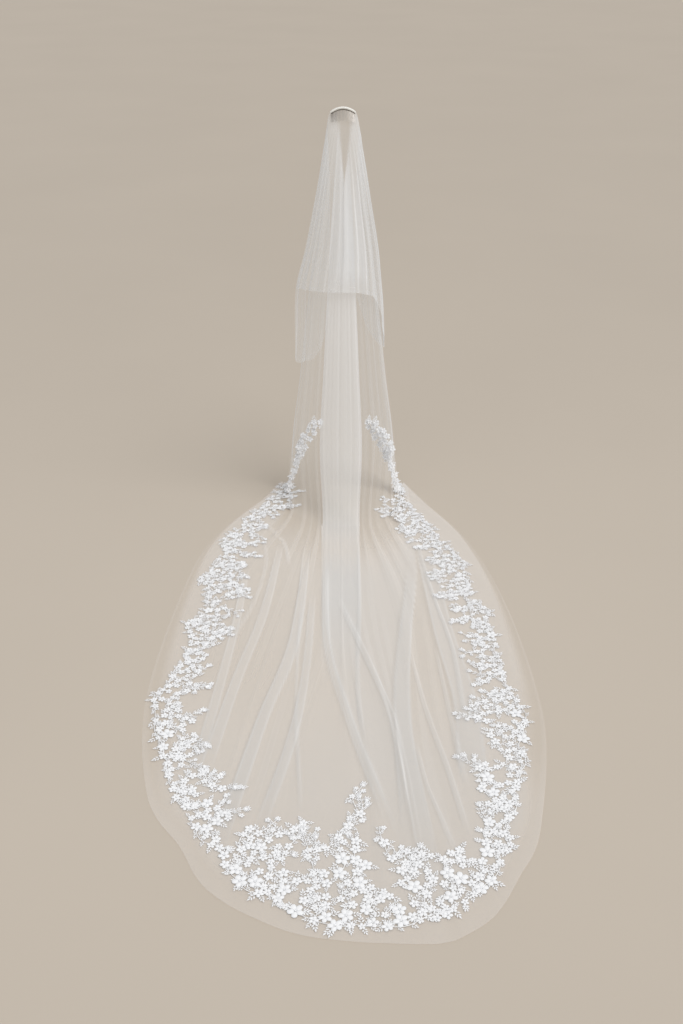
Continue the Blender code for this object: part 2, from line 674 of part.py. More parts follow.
def build_binding(group, surface):
    """The wrapped arch that the tulle is sewn to."""
    rings = []
    for x in np.linspace(-COMB_HALF_WIDTH, COMB_HALF_WIDTH, BINDING_RINGS):
        slope = -2 * COMB_RISE * x / COMB_HALF_WIDTH**2
        tilt = math.atan(slope)
        end = 1.0 - 0.35 * (abs(x) / COMB_HALF_WIDTH) ** 8
        ring = []
        for k in range(BINDING_SIDES):
            angle = 2 * math.pi * k / BINDING_SIDES
            out = BINDING_RADIUS * end * math.cos(angle)
            up = BINDING_RADIUS * end * math.sin(angle)
            ring.append((x - up * math.sin(tilt), out, arch_height(x) + up * math.cos(tilt)))
        rings.append(ring)
    vertices = [p for ring in rings for p in ring]
    faces = [tuple(range(BINDING_SIDES))]
    for i in range(BINDING_RINGS - 1):
        for k in range(BINDING_SIDES):
            a, b = i * BINDING_SIDES + k, i * BINDING_SIDES + (k + 1) % BINDING_SIDES
            faces.append((a, b, b + BINDING_SIDES, a + BINDING_SIDES))
    start = (BINDING_RINGS - 1) * BINDING_SIDES
    faces.append(tuple(range(start, start + BINDING_SIDES)))
    face_outward(add_object("comb_binding", vertices, faces, group, surface))


def build_comb(group, surface):
    """The comb: a curved bar under the binding, with tapered teeth drawn down from it."""
    cut_count = 2 * TOOTH_COUNT
    half = COMB_HALF_WIDTH - 0.0010
    cuts = np.linspace(-half, half, cut_count)
    top = -BINDING_RADIUS - 1.3 * SEAM_GAP
    sections = ((-0.5, top), (0.5, top), (0.5, top - BAR_HEIGHT), (-0.5, top - BAR_HEIGHT))
    vertices = []
    for x in cuts:
        vertices += [(x, y * BAR_THICKNESS, arch_height(x) + z) for y, z in sections]
    faces = [(0, 1, 2, 3)]
    for i in range(cut_count - 1):
        for k in range(4):
            if k == 2 and i % 2 == 0:
                continue
            a, b = 4 * i + k, 4 * i + (k + 1) % 4
            faces.append((a, b, b + 4, a + 4))
    faces.append(tuple(range(4 * (cut_count - 1), 4 * cut_count)))
    for i in range(0, cut_count - 1, 2):
        ring = [4 * i + 2, 4 * i + 3, 4 * i + 7, 4 * i + 6]
        middle = np.mean([vertices[v] for v in ring], axis=0)
        shape = np.array([vertices[v] for v in ring]) - middle
        length = TOOTH_LENGTH + arch_height(middle[0]) * 0.6
        spot = middle + np.array([0.0, -TOOTH_BOW, -length])
        first = len(vertices)
        vertices += [tuple(p) for p in spot + shape * TOOTH_TIP_SCALE]
        tip = [first, first + 1, first + 2, first + 3]
        for k in range(4):
            faces.append((ring[k], ring[(k + 1) % 4], tip[(k + 1) % 4], tip[k]))
        faces.append(tuple(tip))
    face_outward(add_object("comb", vertices, faces, group, surface))


def main():
    clear_scene()
    group = new_collection("bridal_veil")
    tulle = material("tulle", (0.86, 0.86, 0.85), 0.75)
    short_tulle = material("tulle_short", (0.88, 0.88, 0.87), 0.75)
    lace = material("lace", (0.93, 0.93, 0.91), 0.7)
    metal = material("comb_metal", (0.62, 0.61, 0.59), 0.35, metallic=1.0)
    thread = material("binding_thread", (0.93, 0.92, 0.88), 0.6)
    grid = long_tier_grid()
    build_long_tier(grid, group, tulle)
    build_blusher(group, short_tulle)
    build_lace(grid, group, lace)
    build_end_lace(grid, group, lace)
    build_binding(group, thread)
    build_comb(group, metal)


main()
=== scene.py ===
"""A bridal veil in two tiers of soft tulle with a floral lace border, hanging
from its hair comb and spread in a train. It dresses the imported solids."""
import math

import bmesh
import bpy
import numpy as np
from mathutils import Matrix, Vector
from mathutils.bvhtree import BVHTree


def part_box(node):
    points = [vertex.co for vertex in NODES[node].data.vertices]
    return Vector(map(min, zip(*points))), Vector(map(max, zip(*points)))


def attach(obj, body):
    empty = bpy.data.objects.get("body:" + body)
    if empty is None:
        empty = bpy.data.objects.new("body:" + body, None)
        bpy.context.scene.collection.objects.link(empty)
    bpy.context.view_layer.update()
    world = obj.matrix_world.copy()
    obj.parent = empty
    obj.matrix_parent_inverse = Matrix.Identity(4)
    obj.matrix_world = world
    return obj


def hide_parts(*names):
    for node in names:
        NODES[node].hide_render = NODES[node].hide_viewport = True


bl_info = {
    "name": "Bridal veil",
    "version": (1, 0, 0),
    "blender": (4, 5, 0),
    "location": "View3D > Sidebar > Veil",
    "description": "Tulle tiers, lace border, comb and stage of a bridal veil",
    "category": "Object",
}

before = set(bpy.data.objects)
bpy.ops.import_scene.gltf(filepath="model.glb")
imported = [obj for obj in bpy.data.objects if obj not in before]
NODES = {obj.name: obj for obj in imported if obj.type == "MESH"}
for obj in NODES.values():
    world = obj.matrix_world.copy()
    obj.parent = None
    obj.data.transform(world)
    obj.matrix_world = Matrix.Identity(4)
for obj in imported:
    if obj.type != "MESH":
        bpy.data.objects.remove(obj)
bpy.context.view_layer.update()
BODY = "root"

# All lengths are in metres.
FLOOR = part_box("long_tier_train")[0].z
# How low the train's net, any net and any lace may lie above the floor, and how far
# the lace stands off its cloth
NET_ON_FLOOR = 0.0012
NET_LOWEST = 0.0008
LACE_LOWEST = 0.0010
LACE_LIFT = 0.0012

# The comb's arch, the thread round it, and how far down the gathers follow the arch
COMB_HALF_WIDTH = 0.0450
COMB_RISE = 0.0160
COMB_TOP = 0.0080
BINDING_RADIUS = 0.0040
BINDING_THREAD = 0.00062
BINDING_TAPER = 0.35
STEPS_PER_WRAP = 12
GATHER_DEPTH = 0.060

# Rows of the hanging tube, from the comb to the floor.
FALL_ROWS = (
    # down, half_width, half_depth, centre_y, wrap, fold
    (0.0005, 0.0500, 0.0030, 0.0110, 62.0, 0.0000),
    (0.0350, 0.0520, 0.0100, 0.0080, 84.0, 0.0008),
    (0.1000, 0.0600, 0.0200, 0.0060, 112.0, 0.0030),
    (0.2200, 0.0740, 0.0320, 0.0050, 136.0, 0.0055),
    (0.4000, 0.0960, 0.0460, 0.0050, 150.0, 0.0075),
    (0.6200, 0.1210, 0.0620, 0.0060, 157.0, 0.0090),
    (0.8500, 0.1480, 0.0790, 0.0070, 160.0, 0.0105),
    (1.0600, 0.1720, 0.0960, 0.0090, 160.0, 0.0115),
    (1.2700, 0.2030, 0.1220, 0.0120, 156.0, 0.0125),
    (1.4200, 0.2180, 0.1540, 0.0180, 137.0, 0.0130),
    (1.5200, 0.2270, 0.1900, 0.0260, 120.0, 0.0125),
    (1.5750, 0.2360, 0.2350, 0.0310, 109.0, 0.0115),
    (1.5988, 0.2480, 0.2950, 0.0340, 104.0, 0.0100),
)

# Fold lines from the left edge round the near side to the right edge.
GUIDES = (
    # name, across, x1, y1, x2, y2, x3, y3, fall_share, ridge, start, stop, lean
    ("edge_left", -1.00, -0.255, 0.115, -0.264, 0.135, -0.275, 0.150, 0.0, 0.000, 0.0, 1.0, 0.0),
    ("far_left", -0.91, -0.276, 0.045, -0.312, 0.012, -0.350, -0.020, 0.9, 0.003, 0.0, 1.0, 0.0),
    ("side_1", -0.81, -0.325, -0.065, -0.412, -0.170, -0.502, -0.290, 0.8, 0.004, 0.0, 1.0, 0.004),
    ("side_2", -0.71, -0.352, -0.190, -0.470, -0.390, -0.590, -0.615, 1.0, 0.006, 0.0, 1.0, 0.006),
    ("side_3", -0.62, -0.352, -0.370, -0.484, -0.800, -0.645, -1.300, 0.7, 0.005, 0.0, 1.0, 0.004),
    ("outer_left", -0.53, -0.366, -0.600, -0.424, -1.200, -0.576, -1.775, 1.0, 0.012, 0.0, 0.9, -0.030),
    ("left_4", -0.37, -0.262, -0.700, -0.352, -1.330, -0.450, -1.985, 0.9, 0.013, 0.0, 0.55, -0.030),
    ("left_3", -0.29, -0.205, -0.790, -0.302, -1.420, -0.400, -2.080, 0.8, 0.010, 0.25, 0.8, -0.026),
    ("left_2", -0.215, -0.158, -0.840, -0.243, -1.520, -0.345, -2.145, 1.0, 0.019, 0.0, 1.0, -0.048),
    ("pleat_left", -0.14, -0.066, -0.920, -0.166, -1.580, -0.250, -2.210, 0.4, 0.014, 0.0, 0.9, -0.036),
    ("centre_1", -0.075, -0.030, -0.930, -0.115, -1.620, -0.125, -2.268, 0.3, 0.007, 0.5, 0.9, -0.020),
    ("centre_2", -0.01, -0.004, -0.930, 0.018, -1.620, 0.000, -2.290, 0.2, 0.010, 0.3, 0.8, 0.022),
    ("centre_3", 0.05, 0.022, -0.930, 0.084, -1.620, 0.120, -2.298, 0.3, 0.009, 0.35, 0.85, 0.020),
    ("pleat_right", 0.11, 0.058, -0.925, 0.160, -1.600, 0.215, -2.300, 0.4, 0.014, 0.0, 0.9, 0.036),
    ("right_1", 0.175, 0.130, -0.905, 0.192, -1.580, 0.255, -2.296, 0.9, 0.004, 0.0, 0.4, 0.010),
    ("right_2", 0.245, 0.222, -0.880, 0.226, -1.560, 0.300, -2.280, 1.0, 0.019, 0.0, 1.0, 0.050),
    ("right_3", 0.32, 0.268, -0.830, 0.298, -1.500, 0.392, -2.212, 0.8, 0.010, 0.3, 0.9, 0.026),
    ("right_4", 0.42, 0.310, -0.720, 0.366, -1.390, 0.470, -2.090, 1.0, 0.012, 0.0, 0.8, 0.030),
    ("outer_right", 0.53, 0.345, -0.570, 0.432, -1.180, 0.560, -1.900, 0.9, 0.011, 0.0, 0.7, 0.026),
    ("side_4", 0.62, 0.362, -0.400, 0.496, -0.860, 0.641, -1.400, 0.8, 0.005, 0.0, 1.0, 0.004),
    ("side_5", 0.71, 0.358, -0.225, 0.480, -0.500, 0.606, -0.842, 1.0, 0.006, 0.0, 1.0, 0.006),
    ("side_6", 0.81, 0.330, -0.090, 0.418, -0.215, 0.510, -0.380, 0.7, 0.004, 0.0, 1.0, 0.004),
    ("far_right", 0.91, 0.280, 0.035, 0.320, -0.015, 0.365, -0.063, 0.9, 0.003, 0.0, 1.0, 0.0),
    ("edge_right", 1.00, 0.256, 0.110, 0.264, 0.125, 0.272, 0.138, 0.0, 0.000, 0.0, 1.0, 0.0),
)
# The long tier's grid: columns between two fold lines, rows between two rows of the
# fall, and rows on the train, which start a little closer together.
COLUMN_STEPS = 22
FALL_STEPS = 6
TRAIN_STEPS = 76
TRAIN_SPREAD = 1.05

# The wide curve in which the near side runs out onto the floor: its reach, the rows
# above and below the floor's edge that it takes in, the rows over which it blends
# out, and how far round the sides it fades.
FOOT_CURVE = 0.11
FOOT_ROWS = (30, 20)
FOOT_BLEND = 14
FOOT_FADE = (0.42, 0.72)

# The rounded ridges along the fold lines: half their width in spaces between lines,
# shares of the heights and leans in the tables, and how far they wander and lie over.
RIDGE_HALF = 0.42
RIDGE_ON_FALL = 0.50
RIDGE_LOST_IN_BAND = 0.38
RIDGE_ON_TRAIN = 0.10
LEAN_ON_TRAIN = 0.05
RIDGE_LIES_OVER = 0.9
RIDGE_WANDER = 0.10
RIDGE_LOST_AT_HEM = 0.45
BAND_LIFT = 0.12
FLAT_FOLD_HEIGHT = 0.45
MINOR_FOLD_HEIGHT = 0.0018
CRUMPLE_HEIGHT = 0.0022
HANGING_WAVES = (
    # count across, drift down, phase
    (23, 0.25, 0.4),
    (37, -0.3, 2.0),
    (58, 0.2, 4.1),
)

# Flat folds of the train on the floor plan, each from its upper end to its lower
# end: how wide the doubled cloth is, how many layers it adds, and how high it lies.
TRAIN_FOLDS = (
    # name, width, layers, height, x1, y1, x2, y2, x3, y3, x4, y4
    ("left_outer", 0.032, 2.0, 0.006, -0.372, -0.54, -0.385, -0.95, -0.415, -1.35, -0.450, -1.75),
    ("left_second", 0.036, 2.0, 0.007, -0.245, -0.34, -0.285, -0.85, -0.355, -1.25, -0.420, -1.72),
    ("left_third", 0.042, 2.4, 0.010, -0.138, -0.36, -0.170, -1.03, -0.255, -1.45, -0.355, -2.04),
    ("left_fourth", 0.032, 2.0, 0.007, -0.112, -0.70, -0.125, -1.20, -0.160, -1.55, -0.245, -1.95),
    ("left_thin", 0.009, 1.3, 0.004, -0.149, -0.74, -0.156, -1.15, -0.145, -1.50, -0.118, -1.88),
    ("centre_left", 0.028, 1.7, 0.007, -0.066, -0.50, -0.058, -1.00, 0.020, -1.45, 0.140, -1.92),
    ("centre_cross", 0.022, 1.4, 0.006, -0.030, -0.72, 0.085, -1.15, 0.160, -1.48, 0.176, -1.95),
    ("centre_straight", 0.012, 1.2, 0.004, 0.062, -0.30, 0.060, -0.80, 0.048, -1.25, 0.062, -1.56),
    ("ribbon", 0.056, 1.5, 0.011, 0.278, -0.52, 0.215, -1.05, 0.190, -1.45, 0.245, -2.16),
    ("right_panel", 0.015, 1.3, 0.005, 0.225, -1.05, 0.270, -1.42, 0.315, -1.68, 0.352, -1.95),
    ("right_broad", 0.088, 1.9, 0.007, 0.317, -0.349, 0.357, -0.965, 0.399, -1.400, 0.385, -1.759),
    ("right_thin", 0.012, 1.2, 0.004, 0.320, -1.05, 0.335, -1.30, 0.348, -1.52, 0.364, -1.76),
    ("right_low", 0.012, 1.2, 0.004, 0.222, -1.55, 0.245, -1.74, 0.275, -1.86, 0.310, -2.00),
    ("right_edge", 0.012, 1.4, 0.005, 0.295, -0.32, 0.330, -0.70, 0.385, -1.15, 0.388, -1.52),
    ("left_cross", 0.010, 1.2, 0.005, -0.400, -0.17, -0.310, -0.25, -0.235, -0.38, -0.205, -0.56),
    ("left_slant", 0.012, 1.1, 0.005, -0.330, -0.30, -0.300, -0.52, -0.330, -0.80, -0.400, -1.06),
)

# The wide panel of doubled net down the train: distance from the comb, left and right edge.
CENTRE_PANEL = (
    (0.27, -0.080, 0.285),
    (0.57, -0.066, 0.285),
    (0.93, -0.060, 0.246),
    (1.20, -0.030, 0.222),
    (1.50, 0.028, 0.214),
    (1.70, 0.085, 0.224),
    (1.90, 0.138, 0.240),
    (2.10, 0.200, 0.258),
)
CENTRE_PANEL_LAYERS = 1.0
CENTRE_PANEL_BLUR = 0.005

# Rows of the short tier, and how far down its hem hangs all the way round.
BLUSHER_ROWS = (
    # down, half_width, half_depth, centre_x, centre_y, wrap
    (0.0005, 0.0520, 0.0066, 0.0000, 0.0110, 66.0),
    (0.0350, 0.0560, 0.0150, 0.0000, 0.0080, 92.0),
    (0.1000, 0.0665, 0.0280, 0.0010, 0.0060, 122.0),
    (0.2200, 0.0860, 0.0430, 0.0010, 0.0050, 143.0),
    (0.3200, 0.1020, 0.0540, 0.0000, 0.0050, 150.0),
    (0.5100, 0.1360, 0.0780, -0.0030, 0.0060, 160.0),
    (0.6700, 0.1640, 0.0980, -0.0140, 0.0070, 164.0),
    (0.9000, 0.1780, 0.1160, -0.0130, 0.0080, 166.0),
    (1.0400, 0.1900, 0.1240, -0.0120, 0.0090, 166.0),
)
BLUSHER_HEM = (
    # share of the wrap, down
    (-1.00, 0.800), (-0.93, 0.960), (-0.80, 1.005), (-0.66, 0.990), (-0.585, 0.930),
    (-0.535, 0.672), (-0.46, 0.656), (-0.30, 0.652), (0.00, 0.650), (0.22, 0.662),
    (0.36, 0.700), (0.50, 0.850), (0.62, 0.920), (0.78, 0.900), (0.90, 0.800), (1.00, 0.640),
)
BLUSHER_FOLDS = (
    # across, stands_out
    (-0.93, 0.7), (-0.80, 0.9), (-0.67, 0.7), (-0.55, 1.0), (-0.44, 0.8), (-0.34, 1.0),
    (-0.25, 0.8), (-0.16, 1.1), (-0.06, 0.7), (0.04, 1.0), (0.13, 0.8), (0.22, 1.1),
    (0.31, 0.8), (0.41, 1.0), (0.52, 0.7), (0.64, 1.0), (0.77, 0.8), (0.91, 0.8),
)
BLUSHER_FOLD_OUT = 0.0060
BLUSHER_FOLD_HALF = 0.045
BLUSHER_FOLD_WANDER = 0.004
BLUSHER_FOLD_LEAN = 1.1
BLUSHER_ROW_COUNT = 70
BLUSHER_COLUMN_COUNT = 420

# Layers of net that lie on each other at the sides of the fall, the shares by which
# the right side has more and the far edges less, and the share more near the comb
SIDE_LAYERS = 0.52
RIGHT_GAIN = 0.35
FAR_LOSS = 0.45
COMB_GAIN = 1.8

# The dense band down the middle of the fall: the fold lines between which it lies,
# how blurred its edges are, its layers, and the shares by which it has fewer lower
# down and near the comb
SMOOTH_BAND = (8.5, 13.58)
BAND_BLUR = 0.07
BAND_LAYERS = 5.5
BAND_LOSS_LOW = 0.28
BAND_LOSS_AT_COMB = 0.6

# The same band on the floor: where it begins, its left and right edge there and how
# they turn further out, its layers there, and how many it soon loses
FOOT_Y = -0.27
FOOT_BAND_EDGES = ((-0.084, 0.016), (0.066, -0.012))
FOOT_BAND_BLUR = 0.006
FOOT_BAND_LAYERS = 3.95
FOOT_BAND_DROP = 2.3

# Layers of the train, how many fewer at its left and more at its front, and the
# share that its sides lose near the hem, which the front keeps in part
TRAIN_LAYERS = 1.95
TRAIN_LEFT_LOSS = 0.35
TRAIN_FRONT_GAIN = 0.9
HEM_LOSS = 0.84
HEM_LOSS_KEPT_IN_FRONT = 0.34

# Layers of the short tier, more under the comb, and more in its dense middle
SHORT_LAYERS = 1.8
SHORT_COMB_GAIN = 1.4
SHORT_MIDDLE_GAIN = 3.0

# Extra layers along the raw edges of the long tier, and along the short tier's hem
# and side edges
LONG_RAW_EDGE = 0.35
SHORT_RAW_HEM = 0.35
SHORT_RAW_SIDE = 0.6

# The opening between the gathers under the comb: middle, half width, depth, and the
# share of the net that is missing there
GAP_X = 0.006
GAP_HALF = 0.035
GAP_DEPTH = 0.26
GAP_SHARE = 0.85

# A doubled strip of net: how dense its two edges are, and its narrowest rim
STRIP_EDGE = 0.7
NARROWEST_RIM = 0.0036

# The lace band on the train: place along the hem from the far left corner
# round the front, its outer and inner edge as depths in from the hem, and
# the share of big blossoms.
LACE_BAND = (
    # along, outer, inner, big
    (0.000, 0.010, 0.060, 0.00),
    (0.031, 0.020, 0.115, 0.00),
    (0.053, 0.028, 0.085, 0.00),
    (0.074, 0.040, 0.120, 0.00),
    (0.092, 0.026, 0.150, 0.00),
    (0.110, 0.060, 0.160, 0.00),
    (0.132, 0.070, 0.172, 0.00),
    (0.148, 0.034, 0.200, 0.01),
    (0.165, 0.088, 0.205, 0.02),
    (0.187, 0.098, 0.182, 0.03),
    (0.203, 0.045, 0.195, 0.04),
    (0.218, 0.088, 0.190, 0.05),
    (0.235, 0.082, 0.175, 0.06),
    (0.258, 0.052, 0.145, 0.08),
    (0.276, 0.006, 0.125, 0.12),
    (0.297, 0.024, 0.180, 0.16),
    (0.320, 0.045, 0.160, 0.20),
    (0.336, 0.055, 0.140, 0.25),
    (0.366, 0.062, 0.222, 0.30),
    (0.388, 0.055, 0.165, 0.38),
    (0.410, 0.068, 0.300, 0.45),
    (0.432, 0.058, 0.350, 0.48),
    (0.455, 0.054, 0.300, 0.50),
    (0.470, 0.042, 0.350, 0.50),
    (0.484, 0.030, 0.505, 0.50),
    (0.506, 0.025, 0.370, 0.50),
    (0.528, 0.044, 0.345, 0.50),
    (0.545, 0.056, 0.260, 0.50),
    (0.563, 0.066, 0.350, 0.48),
    (0.587, 0.043, 0.280, 0.45),
    (0.609, 0.050, 0.205, 0.42),
    (0.628, 0.060, 0.160, 0.38),
    (0.648, 0.066, 0.235, 0.32),
    (0.672, 0.064, 0.190, 0.26),
    (0.700, 0.050, 0.225, 0.20),
    (0.718, 0.044, 0.235, 0.16),
    (0.733, 0.068, 0.165, 0.12),
    (0.760, 0.084, 0.182, 0.08),
    (0.787, 0.080, 0.178, 0.05),
    (0.801, 0.084, 0.195, 0.04),
    (0.816, 0.060, 0.170, 0.03),
    (0.834, 0.090, 0.190, 0.02),
    (0.857, 0.088, 0.176, 0.00),
    (0.880, 0.060, 0.185, 0.00),
    (0.895, 0.080, 0.160, 0.00),
    (0.930, 0.080, 0.185, 0.00),
    (0.949, 0.060, 0.188, 0.00),
    (0.972, 0.058, 0.135, 0.00),
    (1.000, 0.015, 0.060, 0.00),
)
LACE_PARTS = (
    # node, from, to along the hem
    ("lace_left", 0.0, 0.372),
    ("lace_front", 0.372, 0.652),
    ("lace_right", 0.652, 1.0),
)
END_LACE = (
    # node, side
    ("lace_end_left", -1.0),
    ("lace_end_right", 1.0),
)
# The lace at the fall's two edges: the row of the fall above it, the columns that it
# may take up, how high it climbs, how near the edge and how wide it is, how far in
# it begins at the floor, and how much broader it gets near its upper end.
END_TOP_ROW = 7.0
END_COLUMNS = 150
END_LOW = 0.006
END_DROP = 0.345
END_BAND = (0.003, 0.042)
END_INSET = 0.032
END_BROAD = {-1.0: 0.026, 1.0: 0.075}
END_BROAD_AT = 0.76
END_BROAD_REACH = 0.18
END_TRIES = 1500
END_ROOM = 0.74
# It stands off the cloth and is turned towards the front and upwards.
END_STAND = 0.005
END_TURN = (0.35, -1.0, 1.1)

# How close blossoms stand, as a share of their radii, in front and at the sides. Then
# the radius of the stems' cord, its height, the steps of stems and twigs, and how many
# blossoms are tried for each metre of the hem.
ROOM = 0.84
SIDE_ROOM = 0.99
STEM_RADIUS = 0.0012
STEM_HEIGHT = 0.0008
STEM_STEP = 0.008
TWIG_STEP = 0.0055
TRIES_PER_METRE = 3000


def colour_choice(name, default, description):
    return bpy.props.FloatVectorProperty(
        name=name, description=description, default=default, size=3, min=0.0, max=1.0, subtype="COLOR")


def length_choice(name, default, top, description):
    return bpy.props.FloatProperty(
        name=name, description=description, default=default, min=0.0, max=top, unit="LENGTH")


class VeilTulleSettings(bpy.types.PropertyGroup):
    """Sizes and finish of the net"""

    net_colour: colour_choice("Net colour", (0.915, 0.935, 0.96), "Colour of the tulle's threads")
    # Painted light: a warmer, brighter net colour near the floor stands in for light bounced up from it
    floor_bounce_colour: colour_choice(
        "Net near the floor", (1.0, 0.967, 0.935), "Colour of the net where it takes up the floor's tone")
    # Painted shade: a greyer net colour where several layers lie on each other near the floor
    gathered_shade_colour: colour_choice(
        "Gathered net near the floor", (0.83, 0.825, 0.815), "Colour of several layers lying on each other")
    cover: bpy.props.FloatProperty(
        name="Cover", description="Share of one flat layer of net that is thread",
        default=0.105, min=0.01, max=0.5, subtype="FACTOR")
    fine_fold: length_choice("Fine folds", 0.0007, 0.01, "Height of the small folds between the main ones")
    lean: bpy.props.FloatProperty(
        name="Lean", description="How far the main folds lie over to one side",
        default=1.0, min=0.0, max=2.0)


class VeilLaceSettings(bpy.types.PropertyGroup):
    """Sizes and finish of the lace border"""

    thread_colour: colour_choice("Thread colour", (0.93, 0.93, 0.935), "Colour of the lace")
    blossom: length_choice("Blossom", 0.0220, 0.06, "Radius of a large blossom")
    leaf: length_choice("Leaf", 0.0245, 0.06, "Length of a leaf")
    seed: bpy.props.IntProperty(
        name="Seed", description="Start of the fixed random order", default=7, min=0)


class VeilCombSettings(bpy.types.PropertyGroup):
    """Finish of the comb and its binding"""

    metal_colour: colour_choice("Metal colour", (0.29, 0.27, 0.25), "Colour of the comb")
    binding_colour: colour_choice("Binding colour", (0.93, 0.92, 0.88), "Colour of the wrapped thread")
    wraps: bpy.props.IntProperty(
        name="Wraps", description="Turns of thread round the comb's arch",
        default=62, min=8, max=120)


class VeilStageSettings(bpy.types.PropertyGroup):
    """Floor, light and camera"""

    floor_colour: colour_choice("Floor colour", (0.548, 0.484, 0.410), "Colour of the plain floor")
    key: bpy.props.FloatProperty(
        name="Key light", description="Strength of the soft light from the right",
        default=1.45, min=0.0)
    overhead: bpy.props.FloatProperty(
        name="Overhead light", description="Power of the soft lamp above the train",
        default=13.0, min=0.0, unit="POWER")
    fill: bpy.props.FloatProperty(
        name="Fill", description="Strength of the light from all round",
        default=0.575, min=0.0)
    lens: bpy.props.FloatProperty(
        name="Lens", description="Focal length of the camera in millimetres",
        default=38.67, min=10.0)
class Wire:
    """A node's output that can be used in Python arithmetic."""

    def __init__(self, graph, socket):
        self.graph = graph
        self.socket = socket

    def maths(self, operation, other, flip=False):
        pair = (other, self) if flip else (self, other)
        node = self.graph.add("ShaderNodeMath", {"operation": operation}, dict(enumerate(pair)))
        return self.graph.out(node)

    def __add__(self, other):
        return self.maths("ADD", other)

    def __radd__(self, other):
        return self.maths("ADD", other, True)

    def __sub__(self, other):
        return self.maths("SUBTRACT", other)

    def __rsub__(self, other):
        return self.maths("SUBTRACT", other, True)

    def __mul__(self, other):
        return self.maths("MULTIPLY", other)

    def __rmul__(self, other):
        return self.maths("MULTIPLY", other, True)

    def __truediv__(self, other):
        return self.maths("DIVIDE", other)

    def __rtruediv__(self, other):
        return self.maths("DIVIDE", other, True)

    def __pow__(self, other):
        return self.maths("POWER", other)

    def __rpow__(self, other):
        return self.maths("POWER", other, True)

    def at_least(self, other):
        return self.maths("MAXIMUM", other)

    def at_most(self, other):
        return self.maths("MINIMUM", other)


class Graph:
    """A node tree that is filled by one method for every type of node."""

    def __init__(self, tree):
        self.tree = tree

    def put(self, socket, value):
        if isinstance(value, Wire):
            self.tree.links.new(value.socket, socket)
        else:
            socket.default_value = value

    def add(self, kind, settings=None, values=None):
        node = self.tree.nodes.new(kind)
        for name, value in (settings or {}).items():
            setattr(node, name, value)
        for name, value in (values or {}).items():
            self.put(node.inputs[name], value)
        return node

    def out(self, node, name=0):
        return Wire(self, node.outputs[name])

    def mix_colour(self, factor, first, second):
        node = self.add("ShaderNodeMix", {"data_type": "RGBA"}, {0: factor, 6: first, 7: second})
        return self.out(node, 2)


def new_material(name):
    """A material with one Principled shader: its graph, that shader, and its place."""
    made = bpy.data.materials.new(name)
    made.use_nodes = True
    graph = Graph(made.node_tree)
    place = graph.out(graph.add("ShaderNodeTexCoord"), "Object")
    return made, graph, made.node_tree.nodes["Principled BSDF"], place


def noise(graph, place, scale, detail):
    """Soft clouding between 0 and 1."""
    node = graph.add("ShaderNodeTexNoise", None, {"Vector": place, "Scale": scale, "Detail": detail})
    return graph.out(node, "Fac")


def emboss(graph, shader, height, strength, distance):
    bump = graph.add("ShaderNodeBump", None, {
        "Strength": strength, "Distance": distance, "Height": height})
    graph.put(shader.inputs["Normal"], graph.out(bump))


def rgba(tone, share=1.0):
    return tuple(min(1.0, c * share) for c in tone) + (1.0,)


# Net near the floor greys with painted shade from so many layers on, fully so after so many more.
GATHERED_FROM = 2.1
GATHERED_OVER = 2.4
# Below this height it takes up the floor's warm tone as painted light bounced from the floor, and it closes
# no more at a steeper slant.
FLOOR_TONE_HEIGHT = 0.25
STEEPEST = 0.25


def tulle_material(settings, name):
    """Sheer net: how much of it is thread grows with the layers gathered there
    and with the slant at which it is seen, as it does in real net."""
    made, graph, shader, place = new_material(name)
    cloudy = noise(graph, place, 3.0, 2.0)
    layers = graph.out(graph.add("ShaderNodeAttribute", {"attribute_name": "layers"}), "Fac")
    hanging = graph.mix_colour(cloudy, rgba(settings.net_colour), rgba(settings.net_colour, 0.965))
    # Painted shade: the colour greys where many layers lie on each other
    gathered = ((layers - GATHERED_FROM) / GATHERED_OVER).at_least(0.0).at_most(1.0)
    lying = graph.mix_colour(gathered, rgba(settings.floor_bounce_colour), rgba(settings.gathered_shade_colour))
    # Near the floor the net's colour shifts to painted bounce light from the floor, greyed by painted shade
    # where layers gather
    above = graph.out(graph.add("ShaderNodeSeparateXYZ", None, {"Vector": place}), "Z") - FLOOR
    near_floor = (1.0 - above / FLOOR_TONE_HEIGHT).at_least(0.0).at_most(1.0)
    graph.put(shader.inputs["Base Color"], graph.mix_colour(near_floor, hanging, lying))
    slant = graph.out(graph.add("ShaderNodeLayerWeight", None, {"Blend": 0.5}), "Facing")
    upright = (1.0 - slant).at_least(STEEPEST)
    open_share = (1.0 - settings.cover) ** (layers / upright)
    graph.put(shader.inputs["Alpha"], 1.0 - open_share * (1.03 - cloudy * 0.06).at_most(1.0))
    cells = graph.add("ShaderNodeTexVoronoi", {"feature": "DISTANCE_TO_EDGE"}, {
        "Vector": place, "Scale": 620.0})
    emboss(graph, shader, graph.out(cells, "Distance"), 0.12, 0.0004)
    graph.put(shader.inputs["Roughness"], 0.66 + cloudy * 0.16)
    shader.inputs["Sheen Weight"].default_value = 0.25
    shader.inputs["Sheen Roughness"].default_value = 0.5
    shader.inputs["Specular IOR Level"].default_value = 0.25
    return made


